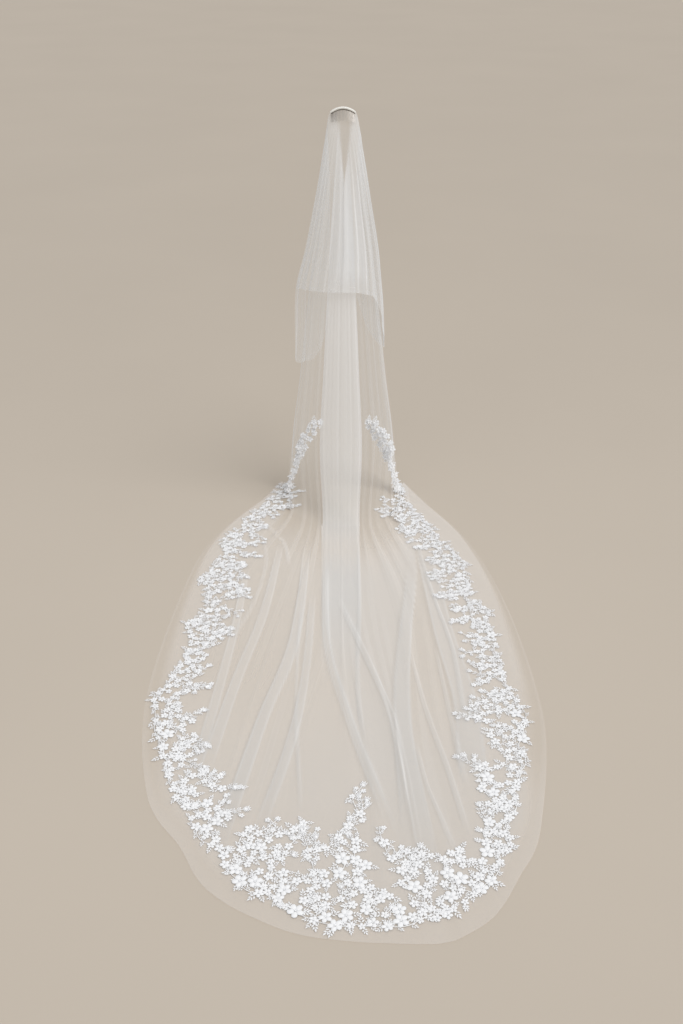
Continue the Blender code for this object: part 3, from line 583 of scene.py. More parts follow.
def lace_material(settings):
    """Matt corded thread with fine ribs of stitching, and painted shade at its shapes' rims and hollows."""
    made, graph, shader, place = new_material("lace_thread")
    grain = noise(graph, place, 240.0, 3.0)
    cloudy = noise(graph, place, 22.0, 2.0)
    cool = rgba([c * k for c, k in zip(settings.thread_colour, (0.90, 0.905, 0.92))])
    painted_shade_tone = rgba([c * k for c, k in zip(settings.thread_colour, (0.70, 0.715, 0.745))])
    # Painted shade: the shapes' shade attribute darkens the thread to a cool grey at petal rims, hearts,
    # leaf bases and bud edges
    shade = graph.out(graph.add("ShaderNodeAttribute", {"attribute_name": "shade"}), "Fac")
    plain = graph.mix_colour(cloudy * 0.5, rgba(settings.thread_colour), cool)
    graph.put(shader.inputs["Base Color"], graph.mix_colour(shade.at_most(1.0) * 0.75, plain, painted_shade_tone))
    ribs = graph.add("ShaderNodeTexWave", {"wave_type": "BANDS", "bands_direction": "DIAGONAL"}, {
        "Vector": place, "Scale": 190.0, "Distortion": 3.0, "Detail": 1.0})
    emboss(graph, shader, graph.out(ribs, "Fac") * 0.5 + grain, 0.35, 0.0006)
    graph.put(shader.inputs["Roughness"], 0.55 + grain * 0.3)
    shader.inputs["Sheen Weight"].default_value = 0.3
    return made


def binding_material(settings):
    """Satin thread, wound close."""
    made, graph, shader, place = new_material("binding_thread_worn")
    grain = noise(graph, place, 700.0, 2.0)
    graph.put(shader.inputs["Base Color"], graph.mix_colour(
        grain, rgba(settings.binding_colour), rgba(settings.binding_colour, 0.88)))
    emboss(graph, shader, grain, 0.3, 0.0003)
    graph.put(shader.inputs["Roughness"], 0.38 + grain * 0.25)
    shader.inputs["Sheen Weight"].default_value = 0.3
    return made


def comb_material(settings):
    """Drawn silver wire with faint rubbing."""
    made, graph, shader, place = new_material("comb_wire_metal")
    rub = noise(graph, place, 90.0, 4.0)
    graph.put(shader.inputs["Base Color"], graph.mix_colour(
        rub, rgba(settings.metal_colour), rgba(settings.metal_colour, 0.8)))
    graph.put(shader.inputs["Roughness"], 0.22 + rub * 0.3)
    shader.inputs["Metallic"].default_value = 1.0
    return made


def floor_material(settings):
    """Plain pale studio floor with very faint clouding."""
    made, graph, shader, place = new_material("studio_floor")
    cloudy = noise(graph, place, 0.8, 3.0)
    graph.put(shader.inputs["Base Color"], graph.mix_colour(
        cloudy, rgba(settings.floor_colour, 1.02), rgba(settings.floor_colour, 0.96)))
    shader.inputs["Roughness"].default_value = 0.9
    shader.inputs["Specular IOR Level"].default_value = 0.1
    return made
def smooth_curve(knots, values, places):
    """Values at places along a curve through the knots that doesn't overshoot."""
    knots = np.asarray(knots, float)
    values = np.asarray(values, float)
    places = np.clip(np.asarray(places, float), knots[0], knots[-1])
    flat = values.reshape(len(knots), -1)
    gap = np.diff(knots)[:, None]
    slope = np.diff(flat, axis=0) / gap
    before = np.vstack([slope[:1], slope])
    after = np.vstack([slope, slope[-1:]])
    limit = 3.0 * np.minimum(abs(before), abs(after))
    mean = (before + after) / 2.0
    tangent = np.where(before * after > 0, np.sign(mean) * np.minimum(abs(mean), limit), 0.0)
    tangent[0] = slope[0]
    tangent[-1] = slope[-1]
    i = np.clip(np.searchsorted(knots, places, side="right") - 1, 0, len(knots) - 2)
    h = gap[i]
    t = (places - knots[i])[:, None] / h
    near = (2 * t**3 - 3 * t**2 + 1) * flat[i] + (t**3 - 2 * t**2 + t) * h * tangent[i]
    far = (3 * t**2 - 2 * t**3) * flat[i + 1] + (t**3 - t**2) * h * tangent[i + 1]
    return (near + far).reshape((len(places),) + values.shape[1:])


def soft_step(value, low, high):
    t = np.clip((np.asarray(value, float) - low) / (high - low), 0.0, 1.0)
    return t * t * (3.0 - 2.0 * t)


def inside(value, low, high, blur):
    """1 between two edges, and falling to 0 just outside them."""
    return soft_step(value, low - blur, low) * (1 - soft_step(value, high, high + blur))


def ridge(distance, half):
    """A rounded ridge of height 1 along a line."""
    reach = np.clip(1 - abs(distance) / half, 0, 1)
    return reach * reach * (3 - 2 * reach)


def arch_height(x):
    """Height of the comb's curved spine."""
    return COMB_TOP - COMB_RISE * (np.asarray(x) / COMB_HALF_WIDTH) ** 2


def hang_from_comb(points, top_down):
    """Lift the rows near the comb so that they follow its arch."""
    share = 1.0 - soft_step(-points[..., 2], top_down, top_down + GATHER_DEPTH)
    x = np.clip(points[..., 0], -COMB_HALF_WIDTH, COMB_HALF_WIDTH)
    points[..., 2] += arch_height(x) * share
    return points


def grid_normals(points):
    """Outward unit normals of a grid of rows that run left to right, top row first."""
    normal = np.cross(np.gradient(points, axis=0), np.gradient(points, axis=1))
    return normal / np.maximum(np.linalg.norm(normal, axis=2, keepdims=True), 1e-12)


def grid_mesh(name, points, layers):
    """A sheet of one layer from a grid of points, with its layer count as an attribute."""
    rows, columns = points.shape[:2]
    first = (np.arange(rows - 1)[:, None] * columns + np.arange(columns - 1)[None]).reshape(-1)
    quads = np.stack([first, first + columns, first + columns + 1, first + 1], 1)
    mesh = bpy.data.meshes.new(name)
    mesh.from_pydata(points.reshape(-1, 3), [], quads.tolist())
    marks = mesh.attributes.new("layers", "FLOAT", "POINT")
    marks.data.foreach_set("value", layers.reshape(-1).astype(np.float32))
    mesh.shade_smooth()
    mesh.update()
    return mesh


def add_piece(name, mesh, surface):
    """A new piece of the veil, with its finish, riding on the veil's body."""
    mesh.materials.clear()
    mesh.materials.append(surface)
    item = link(bpy.data.objects.new(name, mesh))
    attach(item, BODY)
    return item


def link(item):
    bpy.context.scene.collection.objects.link(item)
    return item


def surface_area(points):
    across = points[1:, 1:] - points[:-1, :-1]
    other = points[1:, :-1] - points[:-1, 1:]
    return float(np.linalg.norm(np.cross(across, other), axis=2).sum() / 2)


def ripples(x, y, seed, waves, longest, shortest):
    """A soft uneven relief between -1 and 1, from a few crossing waves."""
    random = np.random.default_rng(seed)
    total = 0.0
    for _ in range(waves):
        length = shortest + (longest - shortest) * random.random()
        turn = random.random() * math.pi
        phase = random.random() * 2 * math.pi
        along = x * math.cos(turn) + y * math.sin(turn)
        total = total + np.sin(2 * math.pi * along / length + phase)
    return total / waves


class LongTier:
    """The long tier as a fine grid: the flat lay, the folded cloth, and its normals."""

    def __init__(self, settings):
        count = len(GUIDES)
        self.columns = np.linspace(0, count - 1, (count - 1) * COLUMN_STEPS + 1)
        self.across = smooth_curve(np.arange(count), [g[1] for g in GUIDES], self.columns)
        self.fall_rows = np.linspace(0, len(FALL_ROWS) - 1, (len(FALL_ROWS) - 1) * FALL_STEPS + 1)
        self.fall = smooth_curve(np.arange(len(FALL_ROWS)), FALL_ROWS, self.fall_rows)
        self.fall_count = len(self.fall)
        self.down = self.fall[:, 0][:, None]
        self.train = np.linspace(0, 1, TRAIN_STEPS + 1)[1:, None] ** TRAIN_SPREAD
        self.base = self.round_foot(hang_from_comb(self.make_base(), FALL_ROWS[0][0]))
        self.on_floor = self.base[self.fall_count :, :, :2]
        self.flat_folds = [self.place_flat_fold(fold) for fold in TRAIN_FOLDS]
        self.minor = scattered_folds(5, 30, 2.5, 20.5, MINOR_FOLD_HEIGHT)
        self.streaks = scattered_folds(8, 46, 0.5, 22.5, 0.0)
        self.points = self.fold(settings)
        self.normals = grid_normals(self.points)
        self.layers = self.count_layers()

    def guide(self, first):
        table = [g[first : first + 2] for g in GUIDES]
        return smooth_curve(np.arange(len(GUIDES)), table, self.columns)

    def make_base(self):
        rows = []
        for down, half_width, half_depth, centre_y, wrap, _ in self.fall:
            angle = np.radians(self.across * wrap)
            rows.append(np.stack([
                half_width * np.sin(angle),
                centre_y - half_depth * np.cos(angle),
                np.full(len(angle), -down)], 1))
        line = np.stack([rows[-1][:, :2]] + [self.guide(k) for k in (2, 4, 6)])
        train = smooth_curve((0.0, 1 / 3, 2 / 3, 1.0), line, self.train[:, 0])
        height = np.full(train.shape[:2] + (1,), FLOOR + NET_ON_FLOOR)
        return np.concatenate([np.array(rows), np.concatenate([train, height], 2)])

    def round_foot(self, base):
        """Let the near side run out onto the floor in a wide curve."""
        first = self.fall_count - FOOT_ROWS[0] - FOOT_BLEND
        last = self.fall_count + FOOT_ROWS[1] + FOOT_BLEND
        reach = base[first:last]
        step = np.linalg.norm(np.diff(reach, axis=0), axis=2)
        place = np.concatenate([np.zeros((1, step.shape[1])), np.cumsum(step, axis=0)])
        weight = np.gradient(place, axis=0)
        rows = np.arange(len(reach))
        ends = soft_step(np.minimum(rows, rows[::-1]) / FOOT_BLEND, 0.0, 1.0)
        blend = ends[:, None] * (1 - soft_step(abs(self.across), *FOOT_FADE))[None]
        smooth = np.empty_like(reach)
        for i in rows:
            pull = np.exp(-(((place - place[i]) / FOOT_CURVE) ** 2)) * weight
            smooth[i] = (reach * pull[..., None]).sum(0) / pull.sum(0)[:, None]
        base[first:last] = reach + (smooth - reach) * blend[..., None]
        return base

    def minor_share(self, row):
        """How strongly a small fold of the train shows in each row."""
        begins = soft_step(self.train, row["start"] - 0.08, row["start"] + 0.1)
        return begins * (1 - soft_step(self.train, row["stop"] - 0.2, row["stop"]))

    def fold(self, settings):
        """Stand the folds out from the flat lay, and lay the big ones over."""
        names = [g[0] for g in GUIDES]
        c = self.columns
        band = inside(c, names.index("pleat_left"), names.index("pleat_right"), 0.5)[None]
        height = np.zeros(self.base.shape[:2])
        shift = np.zeros(self.base.shape[:2])
        n = self.fall_count
        fold_height = self.fall[:, 5][:, None]
        hang = fold_height * (RIDGE_ON_FALL - RIDGE_LOST_IN_BAND * band)
        train = self.train
        blend = soft_step(train, 0.0, 0.3)
        for k, guide in enumerate(GUIDES):
            fall_share, tall, start, stop, lean = guide[8:]
            phase = 2.1 * k + 3.0 * self.down
            bump = ridge(c[None] - k - RIDGE_WANDER * np.sin(phase), RIDGE_HALF)
            height[:n] += hang * fall_share * bump
            shift[:n] += np.sign(lean) * hang * fall_share * RIDGE_LIES_OVER * bump
            bump = ridge(c[None] - k - RIDGE_WANDER * np.sin(phase[-1] + 4.0 * train), RIDGE_HALF)
            begins = 1.0 if start == 0 else soft_step(train, start - 0.12, start + 0.12)
            ends = 1.0 if stop == 1 else 1 - soft_step(train, stop - 0.15, stop + 0.1)
            share = begins * ends * (1 - RIDGE_LOST_AT_HEM * soft_step(train, 0.9, 1.0)) * blend
            from_fall = hang[-1][None] * fall_share * (1 - blend)
            height[n:] += (RIDGE_ON_TRAIN * tall * share + from_fall) * bump
            over = np.sign(lean) * RIDGE_LIES_OVER * from_fall
            shift[n:] += (LEAN_ON_TRAIN * lean * share + over) * bump
        lift = fold_height * BAND_LIFT * band
        height[:n] += lift
        height[n:] += lift[-1] * (1 - blend)
        for row in self.minor:
            line = row["place"] + row["drift"] * train
            bump = ridge(c[None] - line, row["width"] * 0.9)
            height[n:] += row["height"] * self.minor_share(row) * blend * bump
        for fold, (across, share) in zip(TRAIN_FOLDS, self.flat_folds):
            raised = soft_step(across, -0.25, 0.05) * (1 - soft_step(across, 0.75, 1.35))
            height[n:] += FLAT_FOLD_HEIGHT * fold[3] * share * raised
        height += self.small_folds(settings)
        side = np.gradient(self.base, axis=1)
        side /= np.linalg.norm(side, axis=2, keepdims=True)
        lean = (shift * settings.lean)[..., None]
        points = self.base + grid_normals(self.base) * height[..., None] + side * lean
        points[..., 2] = np.maximum(points[..., 2], FLOOR + NET_LOWEST)
        return points

    def small_folds(self, settings):
        """Small hanging folds on the fall, and soft crumples on the train."""
        waves = 0.0
        for count, drift, phase in HANGING_WAVES:
            waves = waves + np.sin(math.pi * count * self.across[None] + drift * self.down + phase)
        hanging = settings.fine_fold * soft_step(self.down, 0.02, 0.5) * waves * 0.45
        x, y = self.on_floor[..., 0], self.on_floor[..., 1]
        fade = soft_step(self.train, 0.0, 0.25)
        crumple = ripples(x, y * 0.35, 11, 7, 0.34, 0.09) * 0.5 + 0.5
        lying = crumple**2 * CRUMPLE_HEIGHT * fade
        return np.concatenate([hanging, lying + hanging[-1][None] * (1 - fade)])

    def count_layers(self):
        """How many layers of the real cloth lie on each other in each place."""
        down, train = self.down, self.train
        near_comb = 1 - soft_step(down, 0.0, 0.5)
        far = soft_step(abs(self.across[None]), 0.50, 0.62)
        right = soft_step(self.across[None], 0.0, 0.3)
        side = SIDE_LAYERS * (1 + RIGHT_GAIN * right) * (1 - FAR_LOSS * far)
        low_edge = SMOOTH_BAND[0] - 0.03 * np.sin(5 * down)
        high_edge = SMOOTH_BAND[1] + 0.05 * np.sin(4 * down + 1)
        band = BAND_LAYERS * inside(self.columns[None], low_edge, high_edge, BAND_BLUR)
        band = band * (1 - BAND_LOSS_LOW * soft_step(down, 0.55, 1.4)) * (1 - BAND_LOSS_AT_COMB * near_comb)
        hanging = side * (1 + COMB_GAIN * near_comb) + band

        x, out = self.on_floor[..., 0], -self.on_floor[..., 1]
        edges = [start + slope * (out + FOOT_Y) for start, slope in FOOT_BAND_EDGES]
        band = FOOT_BAND_LAYERS - FOOT_BAND_DROP * soft_step(train, -0.02, 0.10)
        band = band * inside(x, *edges, FOOT_BAND_BLUR) * (1 - soft_step(out, 0.70, 1.35))
        table = np.array(CENTRE_PANEL)
        edges = [np.interp(out, table[:, 0], table[:, k]) for k in (1, 2)]
        panel = CENTRE_PANEL_LAYERS * inside(x, *edges, CENTRE_PANEL_BLUR) * soft_step(train, 0.02, 0.2)
        panel = panel * (1 - 0.6 * soft_step(out, 1.3, 2.0))
        lying = TRAIN_LAYERS - TRAIN_LEFT_LOSS * (1 - soft_step(x, -0.30, -0.05)) + panel + band
        lying = lying + (side - TRAIN_LAYERS) * (1 - soft_step(train, 0.0, 0.22))
        lying = lying + TRAIN_FRONT_GAIN * soft_step(out, 1.15, 1.80)
        front = soft_step(out, 1.50, 1.90)
        near_hem = soft_step(train, 0.86 + 0.07 * front, 0.96 + 0.025 * front)
        lying = lying * (1 - (HEM_LOSS - HEM_LOSS_KEPT_IN_FRONT * front) * near_hem)

        layers = np.concatenate([hanging, lying]) + self.strips()
        layers *= 1 - middle_gap(self.base) * GAP_SHARE
        edge = np.zeros_like(layers)
        edge[-2:] = edge[:, :2] = edge[:, -2:] = LONG_RAW_EDGE
        return layers + edge

    def strips(self):
        """The doubled strips of cloth beside the fold lines, with crisp edges."""
        c = self.columns[None]
        n = self.fall_count
        total = np.zeros(self.base.shape[:2])
        for k, (name, across, *_, fall_share, tall, _, _, lean) in enumerate(GUIDES):
            if lean == 0 and tall == 0:
                continue
            share = 0.9 * fall_share * (1.0 if abs(across) < 0.58 else 0.35)
            share *= 0.3 if name.startswith("pleat") else 1.0
            profile = strip_profile(c, k, 1.0 if lean < 0 else -1.0, 0.10 + 3 * abs(lean))
            total[:n] += share * soft_step(self.down, 0.1, 0.6) * profile
            total[n:] += share * (1 - soft_step(self.train, 0.05, 0.30)) * profile
        for row in self.minor:
            line = row["place"] + row["drift"] * self.train
            profile = strip_profile(c, line, row["side"], row["width"] * 0.6)
            total[n:] += 0.3 * self.minor_share(row) * row["layers"] * profile
        for row in self.streaks:
            line = row["place"] + 0.12 * row["drift"] * self.down
            share = 0.5 * soft_step(self.down, row["start"], row["start"] + 0.3)
            share = share * (1 - soft_step(self.down, 1.3, 1.55))
            total[:n] += share * row["layers"] * strip_profile(c, line, row["side"], row["width"])
        for fold, (across, share) in zip(TRAIN_FOLDS, self.flat_folds):
            rim = max(0.055, NARROWEST_RIM / fold[1])
            total[n:] += fold[2] * share * strip_profile(across, 0.0, 1.0, 1.0, rim, 0.55)
        return total

    def place_flat_fold(self, fold):
        """How far across a flat fold each place of the train lies, and how strongly it is in it."""
        pieces = 24
        spots = np.linspace(0, 1, pieces + 1)
        line = smooth_curve((0.0, 1 / 3, 2 / 3, 1.0), np.reshape(fold[4:], (4, 2)), spots)
        nearest = np.full(self.on_floor.shape[:2], np.inf)
        across = np.zeros(self.on_floor.shape[:2])
        along = np.zeros(self.on_floor.shape[:2])
        for k, (start, end) in enumerate(zip(line, line[1:])):
            reach = end - start
            to = self.on_floor - start
            t = np.clip((to @ reach) / (reach @ reach), 0.0, 1.0)
            gap = np.linalg.norm(to - t[..., None] * reach, axis=2)
            closer = gap < nearest
            nearest = np.where(closer, gap, nearest)
            turn = np.sign(reach[0] * to[..., 1] - reach[1] * to[..., 0])
            across = np.where(closer, gap * turn, across)
            along = np.where(closer, (k + t) / pieces, along)
        width = fold[1] * (0.65 + 0.35 * along)
        return across / width + 0.5, soft_step(along, 0.0, 0.16) * (1 - soft_step(along, 0.84, 1.0))
def strip_profile(c, line, side, width, rim=0.10, fill=0.6):
    """One strip across the cloth, with crisp edges that are a little denser than its middle."""
    across = (c - line) * side / width
    flat = soft_step(across, -rim, 0.5 * rim) * (1 - soft_step(across, 1 - 0.5 * rim, 1 + rim))
    edges = np.exp(-((across - 0.03) / rim) ** 2) + 0.75 * np.exp(-((across - 0.95) / rim) ** 2)
    return flat * fill + edges * STRIP_EDGE


def scattered_folds(seed, count, low, high, tallest):
    """A fixed list of small folds, each with its place, drift, reach and weight."""
    random = np.random.default_rng(seed)
    rows = []
    for k in range(count):
        start = random.random() * 0.75 - 0.1
        rows.append({
            "place": low + (high - low) * (k + random.random()) / count,
            "drift": (random.random() - 0.5) * 1.1,
            "start": start,
            "stop": start + 0.25 + 0.6 * random.random(),
            "side": 1.0 if random.random() < 0.5 else -1.0,
            "width": 0.12 + 0.30 * random.random(),
            "layers": 0.35 + 0.8 * random.random(),
            "height": tallest * (0.3 + 0.7 * random.random()),
        })
    return rows


def middle_gap(base):
    """Where the gathers part in the middle, just under the comb."""
    down = -base[..., 2]
    half = GAP_HALF * (1 - np.clip(down / GAP_DEPTH, 0, 1))
    closed = soft_step(abs(base[..., 0] - GAP_X), half * 0.4, half * 1.2 + 1e-4)
    return (1 - closed) * (down < GAP_DEPTH)


def build_blusher_grid():
    """The short tier as a fine grid, with its layer counts."""
    across = np.linspace(-1, 1, BLUSHER_COLUMN_COUNT + 1)
    hem_table = np.array(BLUSHER_HEM)
    hem = smooth_curve(hem_table[:, 0], hem_table[:, 1], across)
    rows = np.array(BLUSHER_ROWS)
    top = rows[0, 0]
    stops = np.linspace(0, 1, BLUSHER_ROW_COUNT + 1)[:, None]
    base = []
    for stop in stops:
        down = top + stop * (hem - top)
        half_width, half_depth, centre_x, centre_y, wrap = smooth_curve(rows[:, 0], rows[:, 1:], down).T
        angle = np.radians(across * wrap)
        base.append(np.stack([
            centre_x + half_width * np.sin(angle), centre_y - half_depth * np.cos(angle), -down], 1))
    base = hang_from_comb(np.array(base), top)
    height = np.zeros(base.shape[:2])
    shift = np.zeros(base.shape[:2])
    grown = soft_step(stops, 0.0, 0.7)
    for k, (place, stands_out) in enumerate(BLUSHER_FOLDS):
        wander = BLUSHER_FOLD_WANDER * np.sin(1.9 * k + 2.4 * stops)
        bump = ridge(across[None] - place - wander, BLUSHER_FOLD_HALF)
        bump = bump * stands_out * BLUSHER_FOLD_OUT * grown
        height += bump
        shift += bump * (BLUSHER_FOLD_LEAN if k % 3 else -BLUSHER_FOLD_LEAN)
    side = np.gradient(base, axis=1)
    side /= np.linalg.norm(side, axis=2, keepdims=True)
    points = base + grid_normals(base) * height[..., None] + side * shift[..., None]
    dense = soft_step(across, -0.10, 0.03) * (1 - soft_step(across, 0.20, 0.30))
    ends = soft_step(stops, 0.15, 0.6) * (1 - 0.75 * soft_step(stops, 0.85, 0.99))
    layers = SHORT_LAYERS + SHORT_COMB_GAIN * (1 - soft_step(stops, 0.0, 0.6))
    layers = layers + SHORT_MIDDLE_GAIN * dense[None] * ends
    for row in scattered_folds(21, 40, -0.98, 0.98, 0.0):
        line = row["place"] + 0.05 * row["drift"] * stops
        share = 0.6 * row["layers"] * soft_step(stops, 0.05, 0.35)
        layers = layers + share * strip_profile(across[None], line, row["side"], row["width"] * 0.11)
    layers *= 1 - middle_gap(base) * GAP_SHARE
    layers[-2:] += SHORT_RAW_HEM
    layers[:, :2] += SHORT_RAW_SIDE
    layers[:, -2:] += SHORT_RAW_SIDE
    return points, layers
HEXAGON = [(math.cos(math.pi * k / 3), math.sin(math.pi * k / 3)) for k in range(6)]


class Shape:
    """A small mesh of the lace, whose vertices hold how much shade is painted on them."""

    def __init__(self):
        self.mesh = bmesh.new()
        self.shade = self.mesh.verts.layers.float.new("shade")

    def spot(self, x, y, z, dark=0.0):
        vertex = self.mesh.verts.new((x, y, z))
        vertex[self.shade] = dark
        return vertex

    def fan(self, middle, ring):
        for k, vertex in enumerate(ring):
            self.mesh.faces.new((middle, vertex, ring[(k + 1) % len(ring)]))

    def skirt(self, inner, outer):
        for k in range(len(inner)):
            n = (k + 1) % len(inner)
            self.mesh.faces.new((inner[k], outer[k], outer[n], inner[n]))

    def finish(self, name):
        mesh = bpy.data.meshes.new(name)
        bmesh.ops.recalc_face_normals(self.mesh, faces=self.mesh.faces)
        if sum(face.normal.z for face in self.mesh.faces) < 0:
            bmesh.ops.reverse_faces(self.mesh, faces=self.mesh.faces)
        self.mesh.to_mesh(mesh)
        self.mesh.free()
        return link(bpy.data.objects.new(name, mesh))


def blossom_mesh(name, steps, dome, rim_shade):
    """A flat blossom of radius 1: five cupped petals round a small raised heart, with painted shade at the
    petals' rims and round the heart.
    """
    petals = 5
    shape = Shape()
    for k in range(petals):
        angle = 2 * math.pi * k / petals
        ux, uy = math.cos(angle), math.sin(angle)
        tilt = 0.05 * math.sin(2.6 * k)

        def place(along, across, high, dark):
            return shape.spot(ux * along - uy * across, uy * along + ux * across, high, dark)

        middle = place(0.56, 0.0, dome, 0.0)
        rings = []
        for reach, high, dark in ((0.66, 0.85, 0.1), (1.0, 0.1, rim_shade)):
            ring = []
            for i in range(steps):
                turn = 2 * math.pi * i / steps
                along = 0.55 + 0.45 * reach * math.cos(turn)
                wide = 0.43 * reach * math.sin(turn) * (0.84 + 0.16 * math.cos(turn))
                ring.append(place(along, wide, dome * (high + tilt), dark))
            rings.append(ring)
        shape.fan(middle, rings[0])
        shape.skirt(*rings)
    heart = shape.spot(0, 0, dome * 1.5, 0.1)
    shape.fan(heart, [shape.spot(0.15 * x, 0.15 * y, dome * 0.6, 0.7) for x, y in HEXAGON])
    return shape.finish(name)


def leaf_mesh(name, dome):
    """A sprig of length 1 along +X: two pairs of pointed leaflets and one at the tip, with painted shade at
    their bases and edges.
    """
    shape = Shape()
    for along, turn, length, half in SPRIG:
        ux, uy = math.cos(turn), math.sin(turn)

        def place(reach, side, high, dark):
            return shape.spot(along + ux * reach - uy * side, uy * reach + ux * side, high * dome, dark)

        base = place(0.0, 0.0, 0.3, 0.75)
        left = place(0.52 * length, half, 0.5, 0.45)
        tip = place(length, 0.0, 0.2, 0.3)
        right = place(0.52 * length, -half, 0.5, 0.45)
        shape.fan(place(0.50 * length, 0.0, 1.0, 0.0), (base, right, tip, left))
    return shape.finish(name)


def bud_mesh(name):
    """A small padded bud of radius 1, with painted shade round its edge."""
    shape = Shape()
    top = shape.spot(0, 0, 1.0)
    inner = [shape.spot(0.62 * x, 0.62 * y, 0.8) for x, y in HEXAGON]
    outer = [shape.spot(x, y, 0.1, 0.7) for x, y in HEXAGON]
    shape.fan(top, inner)
    shape.skirt(inner, outer)
    return shape.finish(name)
# Leaflets of a sprig: place along its stem, turn, length and half width.
SPRIG = (
    (0.10, 0.85, 0.44, 0.095),
    (0.10, -0.85, 0.44, 0.095),
    (0.36, 0.70, 0.42, 0.095),
    (0.36, -0.70, 0.42, 0.095),
    (0.50, 0.0, 0.50, 0.105),
)
LACE_KINDS = ("Large blossom", "Small blossom", "Leaf", "Bud")


def lace_tree():
    """Geometry Nodes: a blossom, leaf or bud on each point, and cord along the stems."""
    tree = bpy.data.node_groups.new("veil_lace_sprays", "GeometryNodeTree")
    face = tree.interface
    face.new_socket("Geometry", in_out="INPUT", socket_type="NodeSocketGeometry")
    for kind in LACE_KINDS:
        face.new_socket(kind, in_out="INPUT", socket_type="NodeSocketObject")
    face.new_socket("Stems", in_out="INPUT", socket_type="NodeSocketObject")
    face.new_socket("Cord radius", in_out="INPUT", socket_type="NodeSocketFloat")
    face.new_socket("Thread", in_out="INPUT", socket_type="NodeSocketMaterial")
    face.new_socket("Geometry", in_out="OUTPUT", socket_type="NodeSocketGeometry")
    graph = Graph(tree)
    entry = graph.add("NodeGroupInput")
    leave = graph.add("NodeGroupOutput")

    def mark(name, kind="FLOAT"):
        return graph.out(graph.add(
            "GeometryNodeInputNamedAttribute", {"data_type": kind}, {"Name": name}), "Attribute")

    turned = graph.out(graph.add("ShaderNodeCombineXYZ", None, {"Z": mark("turn")}))
    parts = []
    for number, kind in enumerate(LACE_KINDS):
        info = graph.add("GeometryNodeObjectInfo", None, {"Object": graph.out(entry, kind)})
        chosen = graph.add("FunctionNodeCompare", {"data_type": "INT", "operation": "EQUAL"}, {
            2: mark("kind", "INT"), 3: number})
        placed = graph.add("GeometryNodeInstanceOnPoints", None, {
            "Points": graph.out(entry, "Geometry"),
            "Selection": graph.out(chosen),
            "Instance": graph.out(info, "Geometry"),
            "Rotation": turned,
            "Scale": mark("size")})
        parts.append(graph.out(placed))
    stems = graph.add("GeometryNodeObjectInfo", None, {"Object": graph.out(entry, "Stems")})
    paths = graph.add("GeometryNodeMeshToCurve", None, {"Mesh": graph.out(stems, "Geometry")})
    profile = graph.add("GeometryNodeCurvePrimitiveCircle", None, {
        "Resolution": 4, "Radius": graph.out(entry, "Cord radius")})
    cord = graph.add("GeometryNodeCurveToMesh", None, {
        "Curve": graph.out(paths), "Profile Curve": graph.out(profile)})
    parts.append(graph.out(cord))
    join = graph.add("GeometryNodeJoinGeometry")
    for part in reversed(parts):
        tree.links.new(part.socket, join.inputs[0])
    real = graph.add("GeometryNodeRealizeInstances", None, {"Geometry": graph.out(join)})
    dressed = graph.add("GeometryNodeSetMaterial", None, {
        "Geometry": graph.out(real), "Material": graph.out(entry, "Thread")})
    graph.put(leave.inputs[0], graph.out(dressed))
    return tree


def run_tree(item, tree, values):
    """Run a node tree on an object with named values, and return its result as a plain mesh."""
    modifier = item.modifiers.new("veil_nodes", "NODES")
    modifier.node_group = tree
    for socket in tree.interface.items_tree:
        if socket.in_out == "INPUT" and socket.name in values:
            modifier[socket.identifier] = values[socket.name]
    bpy.context.view_layer.update()
    ready = item.evaluated_get(bpy.context.evaluated_depsgraph_get())
    mesh = bpy.data.meshes.new_from_object(ready)
    item.modifiers.remove(modifier)
    return mesh


def grid_cells(shape):
    """Triangles of a grid of points, by number."""
    rows, columns = shape
    first = (np.arange(rows - 1)[:, None] * columns + np.arange(columns - 1)[None]).reshape(-1)
    low = np.stack([first, first + columns, first + columns + 1], 1)
    high = np.stack([first, first + columns + 1, first + 1], 1)
    return np.concatenate([low, high])


class LyingCloth:
    """Cloth on the floor: lace is let down on it from above."""

    def __init__(self, points):
        cells = grid_cells(points.shape[:2])
        self.finder = BVHTree.FromPolygons(points.reshape(-1, 3).tolist(), cells.tolist())

    def carry(self, spots, owners, lift):
        result = spots.copy()
        for k, (x, y, z) in enumerate(spots):
            hit = self.finder.ray_cast((x, y, 1.0), (0.0, 0.0, -1.0))[0]
            low = FLOOR + LACE_LOWEST if hit is None else hit.z
            result[k, 2] = low + z + lift
        return result


